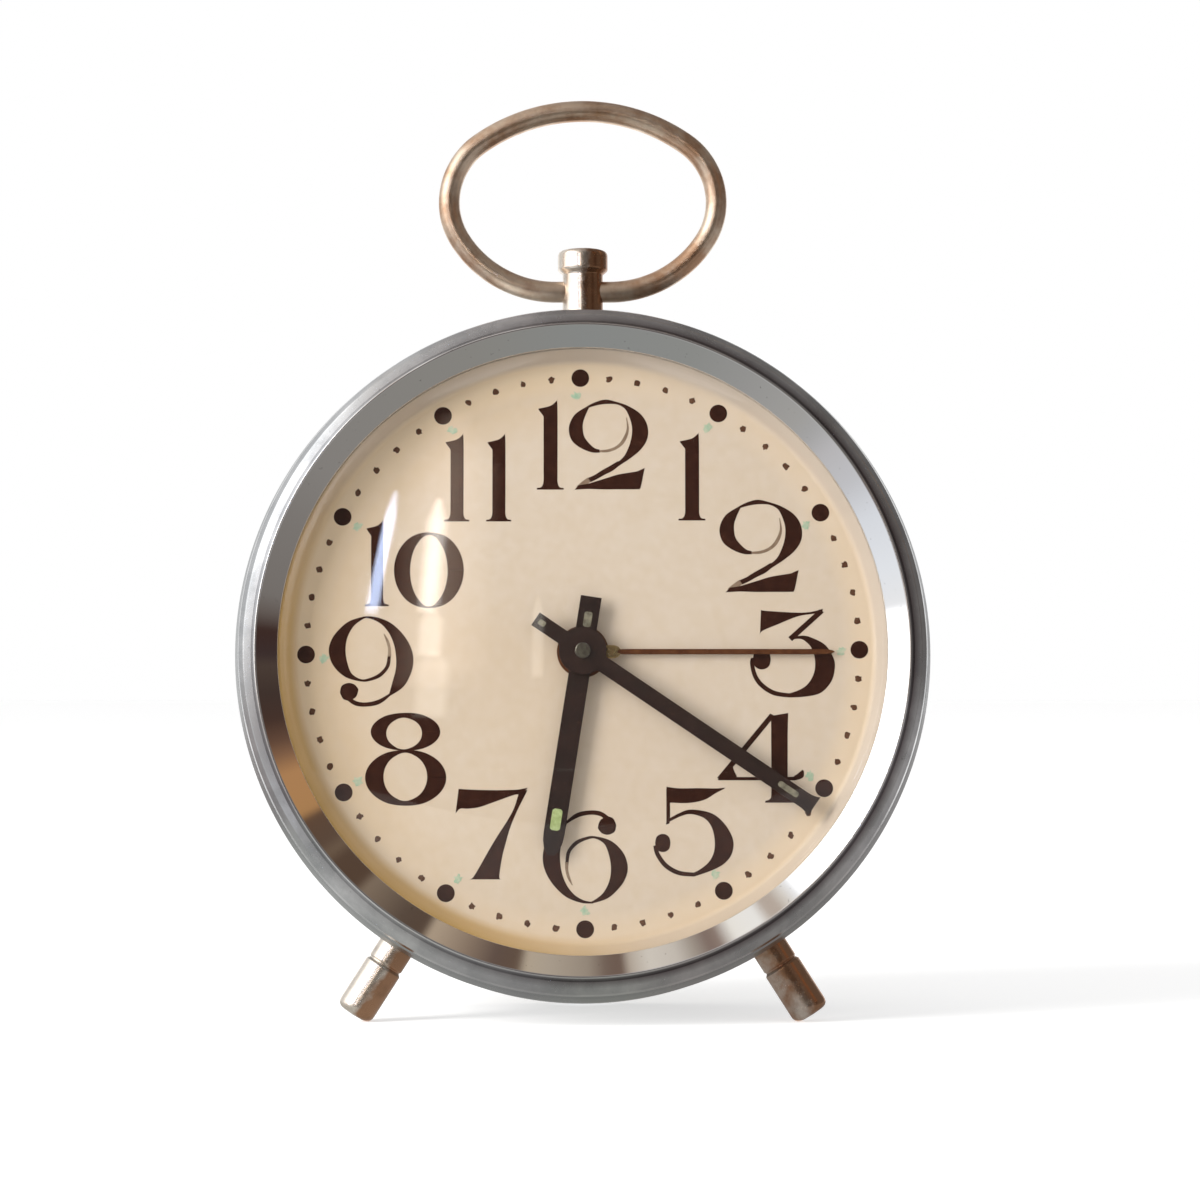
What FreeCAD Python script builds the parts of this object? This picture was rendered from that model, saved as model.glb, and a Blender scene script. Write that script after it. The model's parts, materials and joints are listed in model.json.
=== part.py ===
import FreeCAD, Part
import math
import os

# A wind-up alarm clock in a round metal drum, in millimetres.
# It is drawn upright in the clock's own axes: X to the right, Z up, Y from the front to the back,
# with the face of the dial at Y = 0 and the hands' axis along Y through X = Z = 0.
# At the end the whole clock leans back onto its two feet and the back edge of the drum.

# Drum
case_radius = 50.0
case_wall = 0.8
case_depth = 37.2
neck_step = 2.3
shoulder_y = 0.2
case_flange = 2.5
sheet = 0.8

# Clearances: seats that push together, bearings, press fits, screws in their holes, teeth in mesh
fit_gap = 0.05
running_gap = 0.05
snug_gap = 0.01
screw_gap = 0.02
mesh_gap = 0.02

# Bezel, from the drum's neck inwards
bezel_skirt = 0.85
bezel_bead = 2.0
bezel_cone = 3.2
bezel_sheet = 0.7
bezel_ridge_height = 2.7
bezel_ridge_round = 0.5
bezel_bead_height = 1.3

# Crystal
crystal_edge = 1.45
crystal_dome = 4.6
crystal_wall = 1.2
crystal_dome_gap = 0.2

# Dial
dial_sheet = 0.5
dial_brim_gap = 0.1
dial_rim_slope = 1.7
dial_rim_height = 2.6
dial_hole_radius = 3.3

# What follows from the drum's size
neck_radius = case_radius - neck_step
bezel_radius = neck_radius + fit_gap + bezel_skirt
bezel_ridge_radius = bezel_radius - bezel_bead
bezel_lip_radius = bezel_ridge_radius - bezel_cone
dial_brim_radius = neck_radius - case_wall - dial_brim_gap
dial_rim_radius = bezel_lip_radius
dial_flat_radius = dial_rim_radius - dial_rim_slope

# Handle
stud_y = 14.0
stud_neck_radius = 3.2
stud_head_radius = 3.65
stud_height = 11.2
stud_head_height = 4.1
stud_groove_depth = 0.2
stud_groove_height = 0.25
stud_rounding = 0.9
handle_wire_radius = 1.55
handle_half_width = 19.75
handle_half_height = 13.4
handle_side_radius = 10.5
handle_straight = 4.0
handle_axis_height = 4.65
handle_half_gap = 0.2

# Feet
foot_angle = 31.5
foot_y = 6.5
foot_neck_radius = 2.45
foot_neck_length = 2.5
foot_groove_radius = 2.15
foot_groove_length = 0.8
foot_groove_bevel = 0.2
foot_radius = 2.65
foot_length = 10.6
foot_rounding = 1.0

# Threaded ends of stud, feet and pillars, and their nuts
thread_radius = 1.5
thread_past_nut = 0.6
nut_height = 2.2
nut_across = 6.6
pillar_nut_height = 1.8
pillar_nut_across = 5.0

# Hands, told by their angle clockwise from twelve; their lengths follow the dial
minute_angle = 124.1
hour_angle = 190.35
alarm_angle = 90.0
minute_inset = 2.1
minute_tail = 8.1
minute_width = 2.3
minute_hub_radius = 3.4
minute_hub_flare = 0.6
minute_tail_width = 2.15
minute_tip_width = 3.1
minute_tip_length = 1.6
minute_tip_round = 0.4
hour_inset = 12.3
hour_tail = 7.9
hour_width = 3.0
hour_hub_radius = 3.3
hour_point_length = 1.0
hour_point_width = 1.2
alarm_inset = 5.8
alarm_width = 0.75
alarm_hub_radius = 3.7
alarm_root_length = 5.2
alarm_root_width = 1.8
alarm_root_taper = 0.6
hand_sheet = 0.3
alarm_hand_y = -0.95
hour_hand_y = -1.8
minute_hand_y = -2.75
pipe_past_hand = 0.1
minute_length = dial_flat_radius - minute_inset
hour_length = dial_flat_radius - hour_inset
alarm_length = dial_flat_radius - alarm_inset

# Movement frame
plate_radius = 40.0
plate_sheet = 1.5
front_plate_y = 6.5
rear_plate_y = 24.0
pillar_radius = 2.2
pillar_places = [(22.3, 30.7), (-31.0, 21.0), (-16.06, -31.1), (16.06, -31.1), (37.0, -5.0)]
bracket_angles = [45.0, 180.0, 315.0]
bracket_width = 8.0
bracket_tab_length = 8.2
bracket_height = 7.0
lug_end_gap = 3.6
bracket_screw_inset = 6.0
screw_radius = 1.1
screw_head_radius = 2.2
screw_head_height = 1.4
screw_slot = 0.6
screw_slot_depth = 0.5

# Arbors
pivot_radius = 0.6
arbor_radius = 0.9
pivot_shoulder_gap = 0.15
pivot_end_gap = 0.1
centre_arbor_radius = 1.1
centre_pinion_pipe_radius = 1.7
cannon_radius = 1.9
hour_pipe_radius = 2.45
alarm_pipe_radius = 2.95
winding_arbor_radius = 1.6
spring_hub_radius = 2.5
minute_post_radius = 0.8

# Teeth: numbers and modules of the meshing pairs
great_teeth = 48
centre_pinion_teeth = 8
great_module = 0.7
centre_teeth = 48
third_pinion_teeth = 6
centre_module = 0.5
third_teeth = 45
fourth_pinion_teeth = 6
third_module = 0.45
fourth_teeth = 48
escape_pinion_teeth = 6
fourth_module = 0.4
escape_teeth = 15
escape_radius = 6.6
escape_tooth_depth = 1.7
cannon_teeth = 12
minute_teeth = 36
cannon_module = 0.4
minute_pinion_teeth = 10
hour_teeth = 40
alarm_teeth = 48
alarm_pinion_teeth = 12
alarm_module = 0.47
alarm_great_teeth = 48
alarm_escape_pinion_teeth = 8
alarm_great_module = 0.5
alarm_escape_teeth = 16
alarm_escape_radius = 6.5
alarm_escape_tooth_depth = 1.6

# Ratchets and clicks
ratchet_teeth = 12
ratchet_radius = 5.0
ratchet_depth = 1.0
ratchet_sheet = 1.1
click_distance = 7.6
click_sheet = 0.8
click_tooth_gap = 0.25
click_screw_radius = 0.7
click_boss_radius = 1.5
going_click_direction = 60.0
alarm_click_direction = 200.0

# Wheels: sheet, arms and how far a pinion stands past the wheel that it drives
wheel_sheet = 0.7
heavy_wheel_sheet = 0.8
light_wheel_sheet = 0.6
great_sheet = 1.4
wheel_arm_width = 1.6
wheel_hub_width = 1.3
wheel_rim_width = 1.0
great_hole_radius = 1.6
pinion_margin = 0.3

# Heights of the wheels behind the front plate
centre_wheel_rise = 0.6
centre_pinion_rise = 2.9
centre_pinion_length = 2.2
ratchet_rise = 1.7
fourth_wheel_rise = 2.5
great_wheel_rise = 3.2
escape_wheel_rise = 5.4
lever_rise = 6.4
balance_rise = 8.8
hairspring_rise = 12.0
going_spring_gap = 1.0
alarm_spring_gap = 0.9

# Depths of the wheels in front of the rear plate, and what lies behind that plate
third_wheel_drop = 2.4
alarm_escape_drop = 2.8
hammer_rise = 0.7
bell_rise = 2.1
regulator_rise = 0.35

# Wheels between the dial and the front plate
alarm_wheel_gap = 0.8
hour_wheel_step = 1.5
cannon_step = 1.4
minute_wheel_step = 0.4
cannon_plate_gap = 0.6
release_step = 0.92
release_sheet = 0.28

# Directions, counter-clockwise from +X as seen from the front, from each arbor to the next
great_direction = 215.0
third_direction = 110.0
fourth_direction = 20.0
escape_direction = 60.0
minute_direction = 260.0
alarm_set_direction = 15.0
alarm_great_direction = -35.0
alarm_escape_direction = 50.0

# Balance, lever and regulator
balance_place = (-5.0, 30.5)
balance_radius = 8.0
balance_rim = 1.2
balance_sheet = 1.4
balance_arm_width = 1.6
balance_arm_sheet = 0.7
balance_arm_step = 0.3
balance_screw_radius = 1.48
balance_screw_reach = 0.5
balance_cup_radius = 0.95
balance_cone_length = 0.9
roller_radius = 2.6
roller_sheet = 0.6
impulse_radius = 2.0
impulse_pin_radius = 0.3
impulse_overlap = 0.5
collet_radius = 1.4
collet_height = 1.4
hairspring_radius = 5.0
hairspring_turns = 7
hairspring_strip = 0.12
hairspring_height = 0.8
hairspring_gap = 0.05
hairspring_stud_gap = 0.05
hairspring_stud_radius = 0.5
hairspring_stud_angle = 200.0
lever_distance = 8.2
lever_sheet = 0.8
lever_width = 1.2
lever_hub_radius = 1.3
lever_arm_width = 1.0
lever_arbor_radius = 0.7
fork_gap = 0.55
fork_slot = 0.5
fork_slot_depth = 0.8
pallet_span = 36.0
pallet_pin_radius = 0.3
pallet_boss_radius = 0.6
pallet_clearance = 0.35
pin_overlap = 0.1
regulator_length = 12.0
regulator_ring_radius = 3.2
regulator_sheet = 0.8
regulator_width = 1.8
regulator_finger_radius = 0.9
regulator_finger_out = 2.2
regulator_angle = -80.0
regulator_swing = 24.0
regulator_slot_width = 3.0

# Alarm hammer, bell and release spring
verge_distance = 8.6
verge_span = 34.0
verge_clearance = 0.5
verge_width = 1.2
verge_step = 1.0
hammer_place = (39.3, 15.2)
hammer_radius = 2.0
hammer_length = 5.3
hammer_bevel = 0.3
hammer_sheet = 0.7
hammer_arm_width = 1.2
hammer_hub_radius = 1.5
hammer_tail = (0.3, -0.2)
lock_arm_length = 2.2
lock_arm_width = 1.4
lock_arm_rise = 1.4
lock_arm_sheet = 0.9
bell_place = (24.0, 20.0)
bell_radius = 13.0
bell_sheet = 0.9
bell_crown = 4.0
bell_flare = 1.1
bell_shoulder = 1.6
bell_back_gap = 2.0
bell_post_radius = 2.4
bell_screw_length = 4.0
release_foot_x = -24.0
release_foot_length = 6.0
release_foot_width = 5.0
release_foot_sheet = 0.4
release_strip_width = 2.6
release_eye_radius = 3.6
release_eye_gap = 0.4
release_end_x = 27.0
release_end_z = 7.0
release_tail_width = 1.2
release_tail_length = 2.2
release_tail_reach = 2.6
release_slot_width = 2.0
release_slot_length = 4.0

# Mainsprings
spring_strip = 0.4
spring_turns = 4
going_spring_radius = 13.0
going_spring_height = 9.0
alarm_spring_radius = 11.0
alarm_spring_height = 7.0
spring_leave_angle = 50.0
spring_eye_angle = 264

# Hands' friction spring
friction_spring_radius = 3.2
friction_spring_hub = 2.0
friction_spring_sheet = 0.3
friction_leg_width = 1.2
friction_foot_length = 0.5
friction_gap = 0.1
arbor_collar_radius = 2.2
arbor_collar_length = 1.4

# Back
back_panel_rise = 1.4
back_panel_margin = 1.0
back_panel_slope = 1.2
cover_lip_inset = 0.3
cover_skirt_depth = 4.0
cover_post_places = [(-24.0, 27.0), (-30.0, -19.0), (30.0, -19.0)]
cover_post_radius = 2.5
cover_screw_length = 5.0
shaft_hole_gap = 0.9
outside_gap = 0.6
knob_radius = 5.0
knob_length = 6.4
knob_waist_wall = 1.6
knob_waist_length = 1.8
knob_bevel = 0.5
knob_crown = 0.6
knob_seat_depth = 1.4
shaft_end_gap = 0.05
key_half_span = 9.4
key_height = 11.0
key_wing_sheet = 1.3
key_wing_gap = 1.4
key_wing_taper = 1.0
key_wing_rounding = 3.2
key_wing_dip = 1.6
key_wing_dip_width = 5.2
key_hub_radius = 2.7
key_hub_length = 6.0
key_hub_bevel = 0.4
key_seat_depth = 1.2
going_key_tilt = 35.0
alarm_key_tilt = -20.0
stop_place = (33.1, -0.6)
stop_travel = 3.0
stop_rod_radius = 1.0
stop_ring_radius = 1.8
stop_ring_length = 1.2
stop_button_radius = 3.2
stop_button_length = 2.6
stop_button_bevel = 0.3

# How far a cutting tool runs past the faces that it cuts through
past = 1.0
# How far the middle of a quarter arc lies inside its corner, as a share of the arc's radius
arc_inset = 1.0 - math.sqrt(0.5)

origin = FreeCAD.Vector(0, 0, 0)
along_y = FreeCAD.Vector(0, 1, 0)
os.makedirs("parts", exist_ok=True)
pieces = {}


def vector(x, y, z):
    return FreeCAD.Vector(x, y, z)


def polar(radius, angle, place=(0.0, 0.0)):
    """The point at a radius and an angle in degrees counter-clockwise from +X, seen from the front."""
    turn = math.radians(angle)
    return (place[0] + radius * math.cos(turn), place[1] + radius * math.sin(turn))


def outline(steps, lift):
    """A closed face through corners (a, b) and arcs ((a, b), (a, b)) given by a middle and an end."""
    def end_of(step):
        return step[1] if isinstance(step[0], tuple) else step

    edges = []
    here = end_of(steps[-1])
    for step in steps:
        there = end_of(step)
        if isinstance(step[0], tuple):
            edges.append(Part.Arc(lift(*here), lift(*step[0]), lift(*there)).toShape())
        elif math.dist(here, there) > 1e-6:
            edges.append(Part.makeLine(lift(*here), lift(*there)))
        here = there
    return Part.Face(Part.Wire(edges))


def turned(steps, place=(0.0, 0.0)):
    """A solid of revolution about an axis along Y; the profile's points are (radius, y)."""
    x, z = place
    face = outline(steps, lambda r, y: vector(x + r, y, z))
    return face.revolve(vector(x, 0, z), along_y, 360)


def plate(steps, front, thick):
    """A flat piece cut from sheet: an outline in X and Z, from front to front + thick."""
    return outline(steps, lambda x, z: vector(x, front, z)).extrude(vector(0, thick, 0))


def rod(radius, front, back, place=(0.0, 0.0)):
    return Part.makeCylinder(radius, back - front, vector(place[0], front, place[1]), along_y)


def tube(radius, bore, front, back, place=(0.0, 0.0)):
    return rod(radius, front, back, place).cut(drill(bore, front, back, place))


def drill(radius, front, back, place=(0.0, 0.0)):
    """The tool for a round hole right through what lies between front and back."""
    return rod(radius, front - past, back + past, place)


def stepped(sizes, place=(0.0, 0.0)):
    """A turned rod from (y, radius) pairs: each radius holds from its y to the next; the last ends it."""
    steps = [(0.0, sizes[0][0])]
    for (start, radius), (end, _) in zip(sizes, sizes[1:]):
        steps += [(radius, start), (radius, end)]
    steps.append((0.0, sizes[-1][0]))
    return turned(steps, place)


def bar(start, end, width, front, thick):
    """A straight flat bar between two points, with square ends."""
    run = (end[0] - start[0], end[1] - start[1])
    half = 0.5 * width / math.hypot(*run)
    side = (-run[1] * half, run[0] * half)
    corners = [
        (start[0] + side[0], start[1] + side[1]), (start[0] - side[0], start[1] - side[1]),
        (end[0] - side[0], end[1] - side[1]), (end[0] + side[0], end[1] + side[1]),
    ]
    return plate(corners, front, thick)


def turn_about(shape, place, degrees):
    """Turns a shape counter-clockwise, seen from the front, about an axis along Y."""
    moved = shape.copy()
    moved.rotate(vector(place[0], 0, place[1]), along_y, -degrees)
    return moved


def toothed(teeth, module, front, thick, place, phase, pinion=False):
    """A toothed disc; phase is the angle of one tooth's middle. Pinions have shorter teeth than wheels."""
    radius = 0.5 * teeth * module
    tip, foot = (0.5, 1.35) if pinion else (0.8, 1.2)
    half_tip, half_foot = (0.10, 0.17) if pinion else (0.08, 0.25)
    step = 360.0 / teeth
    points = []
    for k in range(teeth):
        middle = phase + k * step
        points.append(polar(radius - foot * module, middle - half_foot * step, place))
        points.append(polar(radius + tip * module, middle - half_tip * step, place))
        points.append(polar(radius + tip * module, middle + half_tip * step, place))
        points.append(polar(radius - foot * module, middle + half_foot * step, place))
    return plate(points, front, thick)


def meshing(phase, teeth, other_teeth, direction):
    """The phase that puts the other gear's gap on this gear's tooth, along the line to it."""
    return direction + 180.0 - teeth / other_teeth * (phase - direction) - 180.0 / other_teeth


def crossed(wheel, place, front, thick, hub, rim, arms=3, arm_width=wheel_arm_width):
    """Cuts the windows between a wheel's arms."""
    half = 180.0 / arms
    near = math.degrees(math.asin(0.5 * arm_width / hub))
    far = math.degrees(math.asin(0.5 * arm_width / rim))
    for k in range(arms):
        middle = 90.0 + 2.0 * half * k
        window = plate([
            polar(hub, middle - half + near, place),
            polar(rim, middle - half + far, place),
            (polar(rim, middle, place), polar(rim, middle + half - far, place)),
            polar(hub, middle + half - near, place),
        ], front - past, thick + 2 * past)
        wheel = wheel.cut(window)
    return wheel


def saw_toothed(teeth, radius, depth, front, thick, place, lean):
    """A ratchet or escape wheel: each tooth has a steep face and a sloping back."""
    step = 360.0 / teeth
    points = []
    for k in range(teeth):
        points.append(polar(radius - depth, k * step, place))
        points.append(polar(radius, k * step + lean * step, place))
        points.append(polar(radius - 0.1 * depth, k * step + (lean + 0.12) * step, place))
    return plate(points, front, thick)


def spiral(place, inner, outer, turns, strip, front, height, start=0.0, steps=18, tail=()):
    """A flat strip wound from the inner radius to the outer one; tail points continue its outer end."""
    count = int(turns * steps)
    line = [polar(inner + (outer - inner) * k / count, start + 360.0 * k / steps, place)
            for k in range(count + 1)] + list(tail)
    left, right = [], []
    for k, (x, z) in enumerate(line):
        before, after = line[max(k - 1, 0)], line[min(k + 1, len(line) - 1)]
        run = (after[0] - before[0], after[1] - before[1])
        half = 0.5 * strip / math.hypot(*run)
        left.append((x - run[1] * half, z + run[0] * half))
        right.append((x + run[1] * half, z - run[0] * half))
    return plate(left + right[::-1], front, height)


def group(*solids):
    """Several separate solids in one named piece."""
    return Part.makeCompound([solid for shape in solids for solid in shape.Solids])


# The places of the arbors follow from the gears that they carry
def mesh_distance(teeth, other_teeth, module):
    return 0.5 * (teeth + other_teeth) * module + mesh_gap


centre_place = (0.0, 0.0)
great_place = polar(mesh_distance(great_teeth, centre_pinion_teeth, great_module), great_direction)
third_place = polar(mesh_distance(centre_teeth, third_pinion_teeth, centre_module), third_direction)
fourth_place = polar(
    mesh_distance(third_teeth, fourth_pinion_teeth, third_module), fourth_direction, third_place)
escape_place = polar(
    mesh_distance(fourth_teeth, escape_pinion_teeth, fourth_module), escape_direction, fourth_place)
motion_distance = mesh_distance(minute_teeth, cannon_teeth, cannon_module)
minute_place = polar(motion_distance, minute_direction)
hour_module = 2.0 * (motion_distance - mesh_gap) / (hour_teeth + minute_pinion_teeth)
alarm_set_place = polar(mesh_distance(alarm_teeth, alarm_pinion_teeth, alarm_module), alarm_set_direction)
alarm_great_place = polar(
    mesh_distance(great_teeth, centre_pinion_teeth, great_module), alarm_great_direction)
alarm_escape_place = polar(
    mesh_distance(alarm_great_teeth, alarm_escape_pinion_teeth, alarm_great_module),
    alarm_escape_direction, alarm_great_place)
verge_place = polar(verge_distance, alarm_escape_direction, alarm_escape_place)
lever_direction = math.degrees(math.atan2(
    balance_place[1] - escape_place[1], balance_place[0] - escape_place[0]))
lever_place = polar(lever_distance, lever_direction, escape_place)

# The levels of the movement, front to back
front_plate_back = front_plate_y + plate_sheet
rear_plate_back = rear_plate_y + plate_sheet
panel_y = case_depth + back_panel_rise
panel_back = panel_y + sheet
outside_y = panel_back + outside_gap
centre_wheel_y = front_plate_back + centre_wheel_rise
centre_pinion_y = front_plate_back + centre_pinion_rise
centre_pinion_back = centre_pinion_y + centre_pinion_length
great_wheel_y = front_plate_back + great_wheel_rise
great_wheel_back = great_wheel_y + great_sheet
ratchet_y = front_plate_back + ratchet_rise
fourth_wheel_y = front_plate_back + fourth_wheel_rise
escape_wheel_y = front_plate_back + escape_wheel_rise
lever_y = front_plate_back + lever_rise
balance_y = front_plate_back + balance_rise
hairspring_y = front_plate_back + hairspring_rise
going_spring_y = great_wheel_back + going_spring_gap
alarm_spring_y = great_wheel_back + alarm_spring_gap
third_wheel_y = rear_plate_y - third_wheel_drop
alarm_escape_y = rear_plate_y - alarm_escape_drop
alarm_wheel_y = dial_sheet + alarm_wheel_gap
hour_wheel_y = alarm_wheel_y + hour_wheel_step
release_y = hour_wheel_y + release_step
cannon_y = hour_wheel_y + cannon_step
minute_wheel_y = cannon_y + minute_wheel_step
cannon_back = front_plate_y - cannon_plate_gap
hammer_y = rear_plate_back + hammer_rise
bell_y = rear_plate_back + bell_rise
bell_back = panel_y - bell_back_gap - screw_head_height
arbor_first = front_plate_y + pivot_end_gap
arbor_last = rear_plate_back - pivot_end_gap


def make_case():
    """The drum: one pressed cup with a stepped-in neck at the front and a flange that carries the dial."""
    flange_front = -dial_rim_height + dial_sheet
    flange_radius = neck_radius - case_wall - case_flange
    neck_inside = neck_radius - case_wall
    inside = case_radius - case_wall
    bend = arc_inset * case_wall
    case = turned([
        (flange_radius, flange_front),
        (neck_radius, flange_front),
        (neck_radius, shoulder_y),
        (inside, shoulder_y),
        ((case_radius - bend, shoulder_y + bend), (case_radius, shoulder_y + case_wall)),
        (case_radius, case_depth),
        (inside, case_depth),
        (inside, shoulder_y + case_wall),
        (neck_inside, shoulder_y + case_wall),
        (neck_inside, flange_front + case_wall),
        (flange_radius, flange_front + case_wall),
    ])
    hole = thread_radius + fit_gap
    case = case.cut(Part.makeCylinder(hole, case_radius + past, vector(0, stud_y, 0), vector(0, 0, 1)))
    for side in (-1, 1):
        case = case.cut(Part.makeCylinder(hole, case_radius + past, vector(0, foot_y, 0), foot_axis(side)))
    return case


def foot_axis(side):
    lean_out = math.radians(foot_angle)
    return vector(side * math.sin(lean_out), 0, -math.cos(lean_out))


def make_dial():
    """The dial: a flat disc with a flange that slopes forward and a brim between drum and crystal."""
    brim_front = -dial_rim_height
    fold = 0.7 * dial_sheet
    return turned([
        (dial_hole_radius, 0.0),
        (dial_flat_radius, 0.0),
        (dial_rim_radius, brim_front),
        (dial_brim_radius, brim_front),
        (dial_brim_radius, brim_front + dial_sheet),
        (dial_rim_radius + fold, brim_front + dial_sheet),
        (dial_flat_radius + fold, dial_sheet),
        (dial_hole_radius, dial_sheet),
    ])


def make_cap(radius, edge_y, rise):
    """A solid segment of a ball, bulging to the front from a flat base at edge_y."""
    ball_radius = (radius ** 2 + rise ** 2) / (2 * rise)
    ball = Part.makeSphere(ball_radius, vector(0, edge_y - rise + ball_radius, 0))
    return ball.common(rod(radius + past, edge_y - rise - past, edge_y))


def make_crystal():
    """The crystal: a flat rim held between the dial's brim and the bezel, and an even dome."""
    back = -dial_rim_height
    front = back - crystal_edge
    dome_radius = bezel_lip_radius - crystal_dome_gap
    inside_radius = dome_radius - 0.3 * crystal_wall
    rim = rod(dial_brim_radius, front, back)
    dome = make_cap(dome_radius, front, crystal_dome)
    hollow = make_cap(inside_radius, back, crystal_dome + crystal_edge - crystal_wall)
    return rim.fuse(dome).removeSplitter().cut(hollow)


def make_bezel():
    """The front ring, spun from thin sheet: a lip on the crystal, a cone, a ridge, a bead and a skirt."""
    lip = -dial_rim_height - crystal_edge
    crest = lip - bezel_ridge_height
    round_off = bezel_ridge_round
    bead_front = lip - bezel_bead_height
    bead_width = 0.5 * bezel_bead
    return turned([
        (bezel_lip_radius, lip),
        (bezel_lip_radius, lip - bezel_sheet),
        (bezel_ridge_radius - round_off, crest + 0.6 * round_off),
        ((bezel_ridge_radius, crest), (bezel_ridge_radius + round_off, crest + 0.7 * round_off)),
        (bezel_radius - bead_width, bead_front),
        ((bezel_radius - 0.3 * bead_width, bead_front + 0.4 * bead_width),
         (bezel_radius, bead_front + 1.1 * bead_width)),
        (bezel_radius, shoulder_y),
        (neck_radius + fit_gap, shoulder_y),
        (neck_radius + fit_gap, bead_front + 0.9 * bead_width),
        (bezel_ridge_radius + 0.2 * round_off, crest + 2.6 * round_off),
        (bezel_lip_radius + bezel_sheet, lip),
    ])


def make_stud():
    """The handle's stud: threaded shank, neck, groove and a round-edged head, bored across for the wire."""
    shank = case_radius - case_wall - nut_height - thread_past_nut
    top = case_radius + stud_height
    head = top - stud_head_height
    groove = head - stud_groove_height
    neck = stud_neck_radius
    waist = stud_neck_radius - stud_groove_depth
    soft = stud_rounding
    bend = arc_inset * soft
    steps = [
        (0.0, shank), (thread_radius, shank), (thread_radius, case_radius), (neck, case_radius),
        (neck, groove), (waist, groove), (waist, head), (stud_head_radius, head),
        (stud_head_radius, top - soft),
        ((stud_head_radius - bend, top - bend), (stud_head_radius - soft, top)), (0.0, top),
    ]
    face = outline(steps, lambda r, z: vector(r, stud_y, z))
    stud = face.revolve(vector(0, stud_y, 0), vector(0, 0, 1), 360)
    bore = Part.makeCylinder(
        handle_wire_radius + running_gap, 2 * (stud_head_radius + past),
        vector(-stud_head_radius - past, stud_y, handle_axis()), vector(1, 0, 0))
    return stud.cut(bore)


def handle_axis():
    return case_radius + handle_axis_height


def hex_nut(bore, across, height, base, axis):
    """A hexagonal nut on an axis: it starts at base and is across wide over its flats."""
    corner = across / math.sqrt(3)
    hexagon = [vector(*polar(corner, 60.0 * k), 0) for k in range(7)]
    nut = Part.Face(Part.makePolygon(hexagon)).extrude(vector(0, 0, height))
    nut = nut.cut(Part.makeCylinder(bore, height + 2 * past, vector(0, 0, -past)))
    nut.Placement = FreeCAD.Placement(base, FreeCAD.Rotation(vector(0, 0, 1), axis))
    return nut


def make_radial_nut(axis, y):
    """A nut inside the drum on the shank of the stud or of a foot; its corners touch the wall."""
    reach = math.sqrt((case_radius - case_wall) ** 2 - nut_across ** 2 / 3) - nut_height
    return hex_nut(thread_radius + screw_gap, nut_across, nut_height, vector(0, y, 0) + axis * reach, axis)


def make_foot(side):
    """A foot: threaded shank through the drum, neck, groove and a round-ended post."""
    start = case_radius
    shank = start - case_wall - nut_height - thread_past_nut
    groove = start + foot_neck_length
    post = groove + foot_groove_length
    tip = start + foot_length
    bevel = foot_groove_bevel
    soft = foot_rounding
    bend = arc_inset * soft
    steps = [
        (0.0, shank), (thread_radius, shank), (thread_radius, start), (foot_neck_radius, start),
        (foot_neck_radius, groove), (foot_groove_radius, groove + bevel), (foot_groove_radius, post - bevel),
        (foot_radius, post), (foot_radius, tip - soft),
        ((foot_radius - bend, tip - bend), (foot_radius - soft, tip)), (0.0, tip),
    ]
    face = outline(steps, lambda r, z: vector(r, 0, z))
    foot = face.revolve(origin, vector(0, 0, 1), 360)
    foot.Placement = FreeCAD.Placement(
        vector(0, foot_y, 0), FreeCAD.Rotation(vector(0, 0, 1), foot_axis(side)))
    return foot


def make_handle():
    """The oval ring: one bent wire whose two straight ends meet inside the stud's bore."""
    low = handle_axis()
    middle = low + handle_half_height
    side = handle_half_width - handle_side_radius
    top_radius = (side ** 2 + handle_half_height ** 2 - handle_side_radius ** 2) / (
        2 * (handle_half_height - handle_side_radius))
    flat = side - handle_straight
    low_radius = (flat ** 2 + handle_half_height ** 2 - handle_side_radius ** 2) / (
        2 * (handle_half_height - handle_side_radius))
    top_centre = (0.0, middle + handle_half_height - top_radius)
    low_centre = (handle_straight, low + low_radius)
    side_centre = (side, middle)
    upper = math.degrees(math.atan2(middle - top_centre[1], side))
    lower = math.degrees(math.atan2(middle - low_centre[1], side - handle_straight))

    def bend(centre, radius, first, last):
        """A stretch of the wire bent to an arc, on the right side."""
        section = Part.makeCircle(
            handle_wire_radius, vector(centre[0] + radius, stud_y, centre[1]), vector(0, 0, 1))
        disc = Part.Face(Part.Wire(section))
        hub = vector(centre[0], stud_y, centre[1])
        disc.rotate(hub, along_y, -first)
        return disc.revolve(hub, along_y, -(last - first))

    right = [
        bend(top_centre, top_radius, upper, 90.0),
        bend(side_centre, handle_side_radius, lower, upper),
        bend(low_centre, low_radius, -90.0, lower),
    ]
    right.append(Part.makeCylinder(
        handle_wire_radius, handle_straight - handle_half_gap, vector(handle_half_gap, stud_y, low),
        vector(1, 0, 0)))
    left = [piece.mirror(origin, vector(1, 0, 0)) for piece in right]
    return right[0].multiFuse(right[1:] + left).removeSplitter()


def pointer(angle, steps, front, bore):
    """A hand drawn pointing to twelve, turned clockwise to its angle and bored for its arbor or pipe."""
    hand = turn_about(plate(steps, front, hand_sheet), centre_place, -angle)
    return hand.cut(drill(bore + screw_gap, front, front + hand_sheet))


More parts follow.
